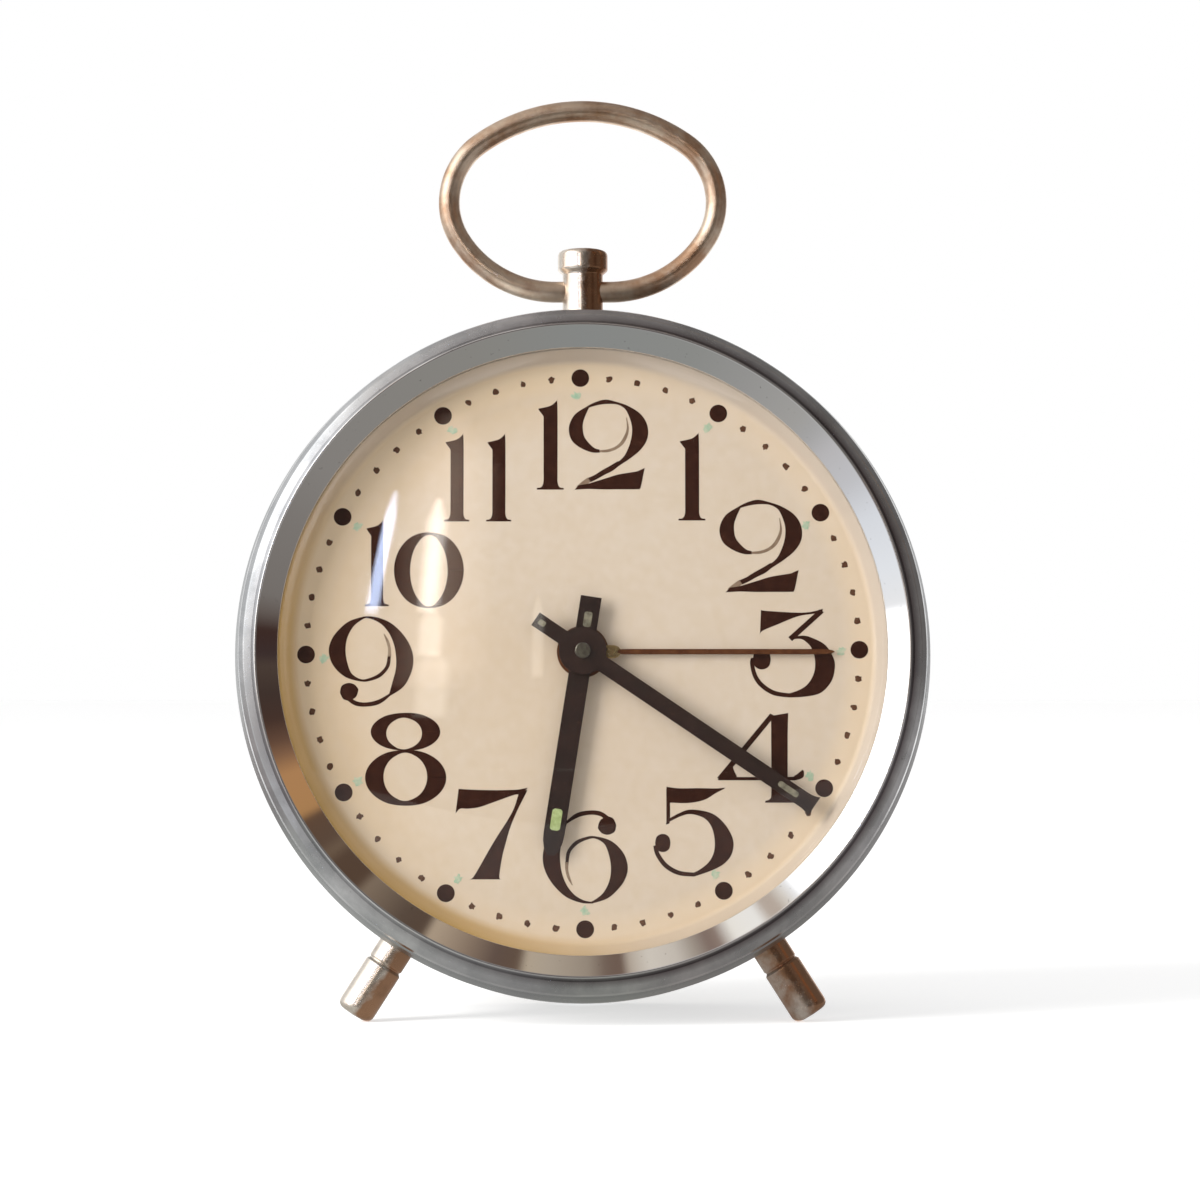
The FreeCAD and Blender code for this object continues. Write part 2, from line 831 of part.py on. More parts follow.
def make_minute_hand():
    """The minute hand: a bar with a round hub, a parallel tail and a tip that widens and ends in an arc."""
    half = 0.5 * minute_width
    tip = 0.5 * minute_tip_width
    hub = minute_hub_radius
    tail = 0.5 * minute_tail_width
    shoulder = math.sqrt(hub ** 2 - half ** 2) + 0.5 * minute_hub_flare
    neck = minute_length - minute_tip_length
    corner = minute_length - minute_tip_round
    steps = [
        (tail, -minute_tail), (tail, -shoulder), ((hub, 0.0), (half, shoulder)), (half, neck), (tip, corner),
        ((0.0, minute_length), (-tip, corner)), (-half, neck), (-half, shoulder),
        ((-hub, 0.0), (-tail, -shoulder)), (-tail, -minute_tail),
    ]
    return pointer(minute_angle, steps, minute_hand_y, centre_arbor_radius)


def make_hour_hand():
    """The hour hand: a wider bar with a round hub and a short blunt point."""
    half = 0.5 * hour_width
    point = 0.5 * hour_point_width
    side = math.sqrt(hour_hub_radius ** 2 - half ** 2)
    neck = hour_length - hour_point_length
    steps = [
        (half, -hour_tail), (half, -side), ((hour_hub_radius, 0.0), (half, side)), (half, neck),
        (point, hour_length), (-point, hour_length), (-half, neck), (-half, side),
        ((-hour_hub_radius, 0.0), (-half, -side)), (-half, -hour_tail),
    ]
    return pointer(hour_angle, steps, hour_hand_y, hour_pipe_radius)


def make_alarm_hand():
    """The alarm hand: a ring with a short wide root that tapers to a thin needle."""
    half = 0.5 * alarm_width
    hub = alarm_hub_radius
    root = 0.5 * alarm_root_width
    side = math.sqrt(hub ** 2 - root ** 2)
    needle = alarm_root_length + alarm_root_taper
    steps = [
        (root, side), (root, alarm_root_length), (half, needle), (half, alarm_length), (-half, alarm_length),
        (-half, needle), (-root, alarm_root_length), (-root, side), ((-hub, 0.0), (0.0, -hub)),
        ((hub, 0.0), (root, side)),
    ]
    return pointer(alarm_angle, steps, alarm_hand_y, alarm_pipe_radius)


def arbor_holes(rear):
    """The arbors' holes in a plate, as places and radii; the hammer's arbor goes through the rear one."""
    thin = pivot_radius + running_gap
    thick = winding_arbor_radius + running_gap
    centre = centre_arbor_radius + running_gap
    return [
        (centre_place, centre), (alarm_set_place, centre), (great_place, thick), (alarm_great_place, thick),
        (third_place, thin), (fourth_place, thin), (escape_place, thin), (lever_place, thin),
        (alarm_escape_place, thin), (verge_place, arbor_radius + running_gap if rear else thin),
        (balance_place, balance_screw_radius + screw_gap),
    ]


def pierced(blank, front, rear=False):
    """Drills a plate for its arbors and its pillars."""
    holes = arbor_holes(rear) + [(place, thread_radius + screw_gap) for place in pillar_places]
    return blank.cut([drill(radius, front, front + plate_sheet, place) for place, radius in holes])


def bracket_screw_radius():
    """How far from the hands' axis the screws of the case brackets are."""
    return case_radius - case_wall - bracket_screw_inset


def make_front_plate():
    """The front plate, with three lugs for the case brackets and the riveted post of the minute wheel."""
    blank = rod(plate_radius, front_plate_y, front_plate_back)
    reach = case_radius - case_wall - lug_end_gap
    for angle in bracket_angles:
        lug = bar((0.0, 0.9 * plate_radius), (0.0, reach), bracket_width, front_plate_y, plate_sheet)
        blank = blank.fuse(turn_about(lug, centre_place, -angle))
        hole = polar(bracket_screw_radius(), 90.0 - angle)
        blank = blank.cut(drill(screw_radius + screw_gap, front_plate_y, front_plate_back, hole))
    blank = pierced(blank.removeSplitter(), front_plate_y)
    slot_middle = release_end_z - 0.5 * release_tail_length
    slot = bar(
        (release_end_x, slot_middle - 0.5 * release_slot_length),
        (release_end_x, slot_middle + 0.5 * release_slot_length),
        release_slot_width, front_plate_y - past, plate_sheet + 2 * past)
    post = stepped([
        (hour_wheel_y, minute_post_radius), (front_plate_y - 0.2, minute_post_radius + light_wheel_sheet),
        (front_plate_y, 0.0)], minute_place)
    return group(blank.cut(slot), post)


def make_rear_plate():
    return pierced(rod(plate_radius, rear_plate_y, rear_plate_back), rear_plate_y, rear=True)


def make_pillars():
    """Five turned pillars with threaded ends; two of them also hold the mainsprings' outer ends."""
    stub = pillar_nut_height + 0.2 * thread_radius
    return group(*[stepped([
        (front_plate_y - stub, thread_radius), (front_plate_back, pillar_radius),
        (rear_plate_y, thread_radius), (rear_plate_back + stub, 0.0)], place) for place in pillar_places])


def make_pillar_nuts():
    nuts = []
    for place in pillar_places:
        for base in (front_plate_y - pillar_nut_height, rear_plate_back):
            nuts.append(hex_nut(
                thread_radius + screw_gap, pillar_nut_across, pillar_nut_height,
                vector(place[0], base, place[1]), along_y))
    return group(*nuts)


def make_brackets():
    """Three angle brackets on the drum's wall, each with a tab behind a lug of the front plate."""
    inside = case_radius - case_wall
    brackets = []
    for angle in bracket_angles:
        tab = bar((0.0, inside - bracket_tab_length), (0.0, inside - 0.5 * sheet), bracket_width,
                  front_plate_back, sheet)
        wall = tube(inside, inside - sheet, front_plate_back, front_plate_back + bracket_height)
        wall = wall.common(Part.makeBox(
            bracket_width, bracket_height, 2 * bracket_tab_length,
            vector(-0.5 * bracket_width, front_plate_back, inside - bracket_tab_length)))
        bracket = tab.fuse(wall).removeSplitter().cut(drill(
            screw_radius + screw_gap, front_plate_back, front_plate_back + sheet,
            (0.0, bracket_screw_radius())))
        brackets.append(turn_about(bracket, centre_place, -angle))
    return group(*brackets)


def screw(place, seat, end, head_side):
    """A screw along Y: its head rests on the plane y = seat, on the side that head_side gives."""
    head_end = seat + head_side * screw_head_height
    front, back = min(seat, head_end), max(seat, head_end)
    head = rod(screw_head_radius, front, back, place)
    slot_front = back - screw_slot_depth if head_side > 0 else front - past
    slot = Part.makeBox(
        2 * (screw_head_radius + past), screw_slot_depth + past, screw_slot,
        vector(place[0] - screw_head_radius - past, slot_front, place[1] - 0.5 * screw_slot))
    shank = rod(screw_radius, min(seat, end), max(seat, end), place)
    return head.fuse(shank).removeSplitter().cut(slot)


def make_movement_screws():
    return group(*[
        screw(polar(bracket_screw_radius(), 90.0 - angle), front_plate_back + sheet, front_plate_y, 1)
        for angle in bracket_angles])


def make_release_spring():
    """The leaf that lifts the hour wheel and bars the hammer: a foot, a strip with an eye and a bent tail."""
    thin = release_sheet
    foot_front = front_plate_y - release_foot_sheet
    foot_end = release_foot_x + 0.5 * release_foot_length
    tail_start = release_end_z - release_tail_length
    foot = bar((release_foot_x - 0.5 * release_foot_length, 0.0), (foot_end, 0.0), release_foot_width,
               foot_front, release_foot_sheet)
    riser = bar((foot_end - thin, 0.0), (foot_end, 0.0), release_strip_width,
                release_y, front_plate_y - release_y)
    strip = bar((foot_end - thin, 0.0), (release_end_x, 0.0), release_strip_width, release_y, thin)
    eye = rod(release_eye_radius, release_y, release_y + thin)
    arm = bar((release_end_x, -0.5 * release_strip_width), (release_end_x, release_end_z),
              release_tail_width, release_y, thin)
    tail = bar((release_end_x, tail_start), (release_end_x, release_end_z), release_tail_width,
               release_y, front_plate_back + release_tail_reach - release_y)
    leaf = strip.fuse([eye, arm, tail, riser, foot]).removeSplitter()
    leaf = leaf.cut([
        drill(cannon_radius + release_eye_gap, release_y, release_y + thin),
        drill(screw_radius + screw_gap, foot_front, front_plate_y, (release_foot_x, 0.0))])
    return group(leaf, screw((release_foot_x, 0.0), foot_front, front_plate_y, -1))


def pinion_arbor(place, teeth, module, front, back, phase):
    """An arbor with its pinion cut in one with it, and thinner pivots in the two plates."""
    shaft = stepped([
        (arbor_first, pivot_radius), (front_plate_back + pivot_shoulder_gap, arbor_radius),
        (rear_plate_y - pivot_shoulder_gap, pivot_radius), (arbor_last, 0.0)], place)
    leaves = toothed(teeth, module, front, back - front, place, phase, pinion=True)
    return shaft.fuse(leaves).removeSplitter()


def wheel_on(place, teeth, module, front, thick, bore):
    """A brass wheel with three arms, bored to sit on its arbor."""
    wheel = toothed(teeth, module, front, thick, place, 0.0)
    root = 0.5 * teeth * module - 1.2 * module
    wheel = crossed(wheel, place, front, thick, bore + wheel_hub_width, root - wheel_rim_width)
    return wheel.cut(drill(bore, front, front + thick, place))


def make_going_train():
    """The wheels from the mainspring to the escapement, each in mesh with the next."""
    centre_pinion_phase = meshing(0.0, great_teeth, centre_pinion_teeth, great_direction + 180.0)
    third_pinion_phase = meshing(0.0, centre_teeth, third_pinion_teeth, third_direction)
    fourth_pinion_phase = meshing(0.0, third_teeth, fourth_pinion_teeth, fourth_direction)
    escape_pinion_phase = meshing(0.0, fourth_teeth, escape_pinion_teeth, escape_direction)
    seat = arbor_radius + snug_gap

    centre = wheel_on(
        centre_place, centre_teeth, centre_module, centre_wheel_y, heavy_wheel_sheet,
        centre_pinion_pipe_radius)
    pinion = toothed(
        centre_pinion_teeth, great_module, centre_pinion_y, centre_pinion_length, centre_place,
        centre_pinion_phase, pinion=True)
    pinion = pinion.fuse(rod(centre_pinion_pipe_radius - snug_gap, centre_wheel_y, centre_pinion_y))
    pinion = pinion.removeSplitter().cut(
        drill(centre_arbor_radius + running_gap, centre_wheel_y, centre_pinion_back))
    pieces["centre_wheel"] = group(centre, pinion)

    third = wheel_on(third_place, third_teeth, third_module, third_wheel_y, wheel_sheet, seat)
    arbor = pinion_arbor(
        third_place, third_pinion_teeth, centre_module, centre_wheel_y - pinion_margin,
        centre_wheel_y + heavy_wheel_sheet + pinion_margin, third_pinion_phase)
    pieces["third_wheel"] = group(third, arbor)

    fourth = wheel_on(fourth_place, fourth_teeth, fourth_module, fourth_wheel_y, wheel_sheet, seat)
    arbor = pinion_arbor(
        fourth_place, fourth_pinion_teeth, third_module, third_wheel_y - pinion_margin,
        third_wheel_y + wheel_sheet + pinion_margin, fourth_pinion_phase)
    pieces["fourth_wheel"] = group(fourth, arbor)

    escape = saw_toothed(
        escape_teeth, escape_radius, escape_tooth_depth, escape_wheel_y, heavy_wheel_sheet,
        escape_place, 0.12)
    escape = crossed(
        escape, escape_place, escape_wheel_y, heavy_wheel_sheet, seat + wheel_hub_width,
        escape_radius - escape_tooth_depth - wheel_rim_width, arm_width=lever_width)
    escape = escape.cut(drill(seat, escape_wheel_y, escape_wheel_y + heavy_wheel_sheet, escape_place))
    arbor = pinion_arbor(
        escape_place, escape_pinion_teeth, fourth_module, fourth_wheel_y - pinion_margin,
        fourth_wheel_y + wheel_sheet + pinion_margin, escape_pinion_phase)
    pieces["escape_wheel"] = group(escape, arbor)


def make_great_wheel(place, teeth, module, click_direction):
    """A great wheel that runs on its winding arbor and carries the click's screw post."""
    wheel = toothed(teeth, module, great_wheel_y, great_sheet, place, 0.0)
    root = 0.5 * teeth * module - 1.2 * module
    post = rod(click_screw_radius, ratchet_y, great_wheel_y, polar(click_distance, click_direction, place))
    drills = [drill(great_hole_radius, great_wheel_y, great_wheel_back,
                    polar(0.66 * root, click_direction + 72.0 * k, place)) for k in range(1, 5)]
    drills.append(drill(winding_arbor_radius + running_gap, great_wheel_y, great_wheel_back, place))
    return wheel.cut(drills).fuse(post).removeSplitter()


def make_click(place, direction):
    """The click: a small lever on the great wheel whose beak rides just clear of the ratchet's teeth."""
    front = ratchet_y + running_gap
    boss = click_boss_radius
    lever = plate([
        polar(click_distance - boss, direction - 4.0, place),
        polar(ratchet_radius + click_tooth_gap, direction + 38.0, place),
        polar(ratchet_radius + click_tooth_gap + boss, direction + 38.0, place),
        polar(click_distance + 0.7 * boss, direction + 14.0, place),
        polar(click_distance + boss, direction - 6.0, place),
    ], front, click_sheet)
    pivot = polar(click_distance, direction, place)
    lever = lever.fuse(rod(boss, front, front + click_sheet, pivot)).removeSplitter()
    return lever.cut(drill(click_screw_radius + running_gap, front, front + click_sheet, pivot))


def make_winding_arbor(place, spring_front, spring_height):
    """The arbor of a key: pivots, ratchet wheel, the hub that the mainspring hooks on, and a threaded end."""
    thin = winding_arbor_radius
    collar = 0.5 * ratchet_sheet
    shaft = stepped([
        (arbor_first, thin), (ratchet_y - collar, thin + collar), (ratchet_y, thin),
        (spring_front - 0.5 * going_spring_gap, spring_hub_radius),
        (spring_front + spring_height + 0.5 * going_spring_gap, thin),
        (outside_y + key_hub_length - key_seat_depth, 0.0)], place)
    ratchet = saw_toothed(ratchet_teeth, ratchet_radius, ratchet_depth, ratchet_y, ratchet_sheet, place, 0.08)
    ratchet = ratchet.cut(drill(thin + snug_gap, ratchet_y, ratchet_y + ratchet_sheet, place))
    return group(shaft, ratchet)


def make_mainspring(place, radius, front, height, post):
    """An open mainspring, wound from its arbor's hub out to an eye round a pillar."""
    inner = spring_hub_radius + 0.5 * spring_strip + fit_gap
    toward = math.degrees(math.atan2(post[1] - place[1], post[0] - place[0]))
    leave = toward - spring_leave_angle
    turns = spring_turns + (leave % 360.0) / 360.0
    step = 24
    eye = (pillar_radius + 0.5 * spring_strip + fit_gap) / math.cos(math.radians(0.5 * step))
    tail = [polar(eye, leave + turn, post) for turn in range(0, spring_eye_angle + 1, step)]
    return spiral(place, inner, radius, turns, spring_strip, front, height, tail=tail)


def make_balance():
    """The balance: a brass rim on two arms, its staff with pointed ends and the disc with the impulse pin."""
    x, z = balance_place
    reach = balance_radius - 0.5 * balance_rim
    arms_y = balance_y + balance_arm_step
    wheel = tube(balance_radius, balance_radius - balance_rim, balance_y, balance_y + balance_sheet,
                 balance_place)
    arms = bar((x - reach, z), (x + reach, z), balance_arm_width, arms_y, balance_arm_sheet)
    hub = rod(balance_arm_width, arms_y, arms_y + balance_arm_sheet, balance_place)
    wheel = wheel.fuse([arms, hub]).removeSplitter()
    wheel = wheel.cut(drill(arbor_radius + snug_gap, balance_y, balance_y + balance_sheet, balance_place))
    front = front_plate_back + balance_screw_reach + running_gap
    back = rear_plate_y - balance_screw_reach - running_gap
    roller_back = balance_y - balance_arm_step
    roller_front = roller_back - roller_sheet
    collet_front = hairspring_y - 0.5 * (collet_height - hairspring_height)
    collet_back = collet_front + collet_height
    staff = turned([
        (0.0, front - balance_cone_length), (arbor_radius, front), (arbor_radius, roller_front),
        (roller_radius, roller_front), (roller_radius, roller_back), (arbor_radius, roller_back),
        (arbor_radius, collet_front), (collet_radius, collet_front), (collet_radius, collet_back),
        (arbor_radius, collet_back), (arbor_radius, back), (0.0, back + balance_cone_length),
    ], balance_place)
    pin = rod(
        impulse_pin_radius, lever_y - impulse_overlap, roller_front,
        polar(impulse_radius, lever_direction + 180.0, balance_place))
    return group(wheel, staff.fuse(pin).removeSplitter())


def make_balance_screws():
    """Two hardened screws in the plates, cupped for the points of the balance staff."""
    radius, cup = balance_screw_radius, balance_cup_radius
    front_end = front_plate_back + balance_screw_reach
    rear_end = rear_plate_y - balance_screw_reach
    head_front = front_plate_y - 2 * balance_screw_reach
    head_back = rear_plate_back + balance_screw_reach
    front = turned([
        (0.0, head_front), (radius, head_front), (radius, front_end), (cup, front_end),
        (0.0, front_end - balance_cone_length)], balance_place)
    rear = turned([
        (0.0, rear_end + balance_cone_length), (cup, rear_end), (radius, rear_end), (radius, head_back),
        (0.0, head_back)], balance_place)
    return group(front, rear)


def make_hairspring():
    """The hairspring, from the collet on the staff to the stud on the rear plate."""
    start = hairspring_stud_angle - 360.0 * hairspring_turns
    inner = collet_radius + 0.5 * hairspring_strip + hairspring_gap
    return spiral(balance_place, inner, hairspring_radius, hairspring_turns, hairspring_strip,
                  hairspring_y, hairspring_height, start, 16)


def hairspring_stud_place():
    distance = hairspring_radius + 0.5 * hairspring_strip + hairspring_stud_gap + hairspring_stud_radius
    return polar(distance, hairspring_stud_angle, balance_place)


def make_regulator():
    """The regulator: a ring round the rear balance screw and an index whose finger shows behind the back."""
    front = rear_plate_back + regulator_rise
    back = front + regulator_sheet
    ring = rod(regulator_ring_radius, front, back, balance_place)
    tip = polar(regulator_length, regulator_angle, balance_place)
    index = bar(balance_place, tip, regulator_width, front, regulator_sheet)
    finger = rod(regulator_finger_radius, front, panel_back + regulator_finger_out, tip)
    ring = ring.fuse([index, finger]).removeSplitter()
    return ring.cut(drill(balance_screw_radius + running_gap, front, back, balance_place))


def make_lever():
    """The pallet lever: an arbor, a fork towards the balance and two pins across the escape wheel."""
    reach = escape_radius + pallet_pin_radius + pallet_clearance
    lever_back = lever_y + lever_sheet
    fork_end = polar(balance_distance() - impulse_radius - fork_gap, lever_direction, lever_place)
    lever = bar(lever_place, fork_end, lever_width, lever_y, lever_sheet)
    parts = [rod(lever_hub_radius, lever_y, lever_back, lever_place)]
    for side in (-1, 1):
        pin_place = polar(reach, lever_direction + side * pallet_span, escape_place)
        parts.append(bar(lever_place, pin_place, lever_arm_width, lever_y, lever_sheet))
        parts.append(rod(pallet_boss_radius, lever_y, lever_back, pin_place))
        parts.append(rod(pallet_pin_radius, escape_wheel_y - pin_overlap, lever_y, pin_place))
    parts.append(stepped([
        (arbor_first, pivot_radius), (front_plate_back + pivot_shoulder_gap, lever_arbor_radius),
        (rear_plate_y - pivot_shoulder_gap, pivot_radius), (arbor_last, 0.0)], lever_place))
    slot = bar(
        polar(-fork_slot_depth, lever_direction, fork_end), polar(past, lever_direction, fork_end), fork_slot,
        lever_y - past, lever_sheet + 2 * past)
    return lever.fuse(parts).removeSplitter().cut(slot)


def balance_distance():
    return math.dist(balance_place, lever_place)


def make_centre_arbor():
    """The hands' arbor: from the minute hand to the knob behind the back, with a collar for its spring."""
    collar = centre_pinion_back + friction_gap + 2 * friction_spring_sheet + fit_gap
    return stepped([
        (minute_hand_y - 0.5, centre_arbor_radius), (collar, arbor_collar_radius),
        (collar + arbor_collar_length, centre_arbor_radius), (knob_arbor_end(), 0.0)])


def knob_arbor_end():
    """Where the arbors of the two knobs end, inside their knobs."""
    return outside_y + knob_length - knob_seat_depth


def make_friction_spring():
    """A three-legged spring washer between the collar and the centre pinion, which lets the hands be set."""
    front = centre_pinion_back + friction_gap
    thin = friction_spring_sheet
    outer = friction_spring_radius
    washer = rod(friction_spring_hub, front + thin, front + 2 * thin)
    for k in range(3):
        leg = bar((0.0, centre_arbor_radius), (0.0, outer), friction_leg_width, front + thin, thin)
        foot = bar((0.0, outer - friction_foot_length), (0.0, outer), friction_leg_width, front, thin)
        washer = washer.fuse([turn_about(piece, centre_place, 120.0 * k) for piece in (leg, foot)])
    return washer.removeSplitter().cut(drill(centre_arbor_radius + snug_gap, front, front + 2 * thin))


def make_motion_work():
    """The wheels behind the dial that carry the minute hand's turn to the hour hand, twelve to one."""
    minute_phase = meshing(0.0, cannon_teeth, minute_teeth, minute_direction)
    hour_phase = meshing(0.0, minute_pinion_teeth, hour_teeth, minute_direction + 180.0)
    alarm_phase = meshing(0.0, alarm_pinion_teeth, alarm_teeth, alarm_set_direction + 180.0)

    cannon = toothed(
        cannon_teeth, cannon_module, cannon_y, cannon_back - cannon_y, centre_place, 0.0, pinion=True)
    pieces["cannon_pinion"] = piped(
        cannon, cannon_radius, centre_arbor_radius + snug_gap, minute_hand_y + hand_sheet, cannon_y,
        cannon_back)

    hour = toothed(hour_teeth, hour_module, hour_wheel_y, heavy_wheel_sheet, centre_place, hour_phase)
    pieces["hour_wheel"] = piped(
        hour, hour_pipe_radius, cannon_radius + running_gap, hour_hand_y - pipe_past_hand, hour_wheel_y,
        hour_wheel_y + heavy_wheel_sheet)

    alarm = toothed(alarm_teeth, alarm_module, alarm_wheel_y, heavy_wheel_sheet, centre_place, alarm_phase)
    pieces["alarm_wheel"] = piped(
        alarm, alarm_pipe_radius, hour_pipe_radius + running_gap, alarm_hand_y - pipe_past_hand,
        alarm_wheel_y, alarm_wheel_y + heavy_wheel_sheet)

    wheel = toothed(
        minute_teeth, cannon_module, minute_wheel_y, light_wheel_sheet, minute_place, minute_phase)
    pinion_front = hour_wheel_y - pinion_margin
    pinion = toothed(
        minute_pinion_teeth, hour_module, pinion_front, minute_wheel_y - pinion_front, minute_place, 0.0,
        pinion=True)
    pieces["minute_wheel"] = wheel.fuse(pinion).removeSplitter().cut(drill(
        minute_post_radius + running_gap, pinion_front, minute_wheel_y + light_wheel_sheet, minute_place))

    setter = toothed(
        alarm_pinion_teeth, alarm_module, alarm_wheel_y - pinion_margin,
        heavy_wheel_sheet + 2 * pinion_margin, alarm_set_place, 0.0, pinion=True)
    collar = front_plate_back + 0.5 * pinion_margin
    shaft = stepped([
        (alarm_wheel_y - 2 * pinion_margin, centre_arbor_radius),
        (collar, centre_arbor_radius + pinion_margin), (collar + arbor_collar_length, centre_arbor_radius),
        (knob_arbor_end(), 0.0)], alarm_set_place)
    pieces["alarm_set_arbor"] = setter.fuse(shaft).removeSplitter()


def piped(wheel, radius, bore, pipe_front, wheel_front, back):
    """A wheel or pinion with a pipe that carries its hand, bored right through."""
    pipe = rod(radius, pipe_front, wheel_front + 0.5 * (back - wheel_front))
    return wheel.fuse(pipe).removeSplitter().cut(drill(bore, pipe_front, back))


def make_alarm_train():
    """The alarm's great wheel and the saw-toothed escape wheel that rocks the hammer."""
    pinion_phase = meshing(0.0, alarm_great_teeth, alarm_escape_pinion_teeth, alarm_escape_direction)
    pieces["alarm_great_wheel"] = make_great_wheel(
        alarm_great_place, alarm_great_teeth, alarm_great_module, alarm_click_direction)
    escape = saw_toothed(
        alarm_escape_teeth, alarm_escape_radius, alarm_escape_tooth_depth, alarm_escape_y, heavy_wheel_sheet,
        alarm_escape_place, 0.25)
    escape = escape.cut(drill(
        arbor_radius + snug_gap, alarm_escape_y, alarm_escape_y + heavy_wheel_sheet, alarm_escape_place))
    arbor = pinion_arbor(
        alarm_escape_place, alarm_escape_pinion_teeth, alarm_great_module, great_wheel_y - pinion_margin,
        great_wheel_back + pinion_margin, pinion_phase)
    pieces["alarm_escape_wheel"] = group(escape, arbor)


def make_hammer():
    """The hammer: an arbor with the verge and its two pins, a lock arm in front and the hammer arm behind."""
    x, z = verge_place
    verge_y = alarm_escape_y - verge_step
    verge_back = verge_y + lever_sheet
    lock_y = front_plate_back + lock_arm_rise
    hammer_back = hammer_y + hammer_sheet
    shaft = stepped([
        (arbor_first, pivot_radius), (front_plate_back + pivot_shoulder_gap, arbor_radius),
        (hammer_back + 0.5 * hammer_sheet, 0.0)], verge_place)
    parts = []
    reach = alarm_escape_radius + pallet_pin_radius + verge_clearance
    for side in (-1, 1):
        pin_place = polar(reach, alarm_escape_direction + side * verge_span, alarm_escape_place)
        parts.append(bar(verge_place, pin_place, verge_width, verge_y, lever_sheet))
        parts.append(rod(pallet_boss_radius, verge_y, verge_back, pin_place))
        parts.append(rod(
            pallet_pin_radius, verge_back, alarm_escape_y + heavy_wheel_sheet + 2 * pin_overlap, pin_place))
    parts.append(bar(verge_place, (x - lock_arm_length, z), lock_arm_width, lock_y, lock_arm_sheet))
    parts.append(bar(verge_place, hammer_place, hammer_arm_width, hammer_y, hammer_sheet))
    parts.append(bar(
        verge_place, (x + hammer_tail[0], stop_place[1] + hammer_tail[1]), hammer_arm_width, hammer_y,
        hammer_sheet))
    parts.append(rod(hammer_hub_radius, hammer_y, hammer_back, verge_place))
    end = hammer_y + hammer_length
    soft = hammer_bevel
    parts.append(turned([
        (0.0, hammer_y), (hammer_radius - soft, hammer_y), (hammer_radius, hammer_y + soft),
        (hammer_radius, end - soft), (hammer_radius - soft, end), (0.0, end)], hammer_place))
    return shaft.fuse(parts).removeSplitter()


def make_bell():
    """The bell: a pressed steel cup, open towards the plates, with a hole for its screw."""
    hole = screw_radius + screw_gap
    shoulder = bell_back - bell_shoulder
    return turned([
        (hole, bell_back), (hole, bell_back - bell_sheet),
        (bell_radius - bell_crown - 0.5 * bell_sheet, bell_back - bell_sheet),
        (bell_radius - bell_flare - bell_sheet, shoulder - 0.5 * bell_sheet),
        (bell_radius - bell_sheet, bell_y), (bell_radius, bell_y), (bell_radius - bell_flare, shoulder),
        (bell_radius - bell_crown, bell_back),
    ], bell_place)


def make_bell_post():
    top = bell_back - bell_sheet
    post = rod(bell_post_radius, rear_plate_back, top, bell_place)
    return post.cut(rod(screw_radius + screw_gap, top - bell_screw_length, top + past, bell_place))


def make_back_cover():
    """The back: a lip on the drum's edge, a skirt inside it and a raised panel with the holes of the keys."""
    outside = case_radius - case_wall - fit_gap
    lip = case_radius - cover_lip_inset
    inside = outside - sheet
    panel = plate_radius + back_panel_margin
    foot = panel + back_panel_slope
    bend = 0.6 * back_panel_slope
    skirt = case_depth - cover_skirt_depth
    cover = turned([
        (0.0, panel_back), (0.0, panel_y), (panel, panel_y), (foot, case_depth), (inside, case_depth),
        (inside, skirt), (outside, skirt), (outside, case_depth), (lip, case_depth),
        (lip, case_depth + sheet), (foot + bend, case_depth + sheet), (panel + bend, panel_back),
    ])
    key_hole = winding_arbor_radius + shaft_hole_gap
    knob_hole = centre_arbor_radius + shaft_hole_gap
    holes = [(great_place, key_hole), (alarm_great_place, key_hole), (centre_place, knob_hole),
             (alarm_set_place, knob_hole), (stop_place, stop_rod_radius + running_gap)]
    holes += [(place, screw_radius + screw_gap) for place in cover_post_places]
    drills = [drill(radius, panel_y, panel_back, place) for place, radius in holes]
    inner = regulator_length - 0.5 * regulator_slot_width
    outer = regulator_length + 0.5 * regulator_slot_width
    low, high = regulator_angle - regulator_swing, regulator_angle + regulator_swing
    slot = plate([
        polar(inner, low, balance_place), polar(outer, low, balance_place),
        (polar(outer, regulator_angle, balance_place), polar(outer, high, balance_place)),
        polar(inner, high, balance_place),
        (polar(inner, regulator_angle, balance_place), polar(inner, low, balance_place)),
    ], panel_y - past, sheet + 2 * past)
    return cover.cut(drills + [slot])


def make_cover_posts():
    """Three posts on the rear plate that the back cover is screwed to."""
    posts = []
    for place in cover_post_places:
        post = rod(cover_post_radius, rear_plate_back, panel_y, place)
        hole = rod(screw_radius + screw_gap, panel_y - cover_screw_length - past, panel_y + past, place)
        posts.append(post.cut(hole))
    return group(*posts)


def make_cover_screws():
    return group(*[screw(place, panel_back, panel_y - cover_screw_length, 1) for place in cover_post_places])


def make_knob(place):
    """A turned brass knob with a waist and a bevelled edge, closed at its end, on an arbor's threaded end."""
    bore = centre_arbor_radius + snug_gap
    seat = knob_arbor_end() + shaft_end_gap
    waist = bore + knob_waist_wall
    shoulder = outside_y + knob_waist_length
    back = outside_y + knob_length
    return turned([
        (bore, outside_y), (waist, outside_y), (waist, shoulder), (knob_radius - knob_bevel, shoulder),
        (knob_radius, shoulder + knob_bevel), (knob_radius, back - knob_crown),
        (knob_radius - knob_crown, back), (0.0, back), (0.0, seat), (bore, seat),
    ], place)


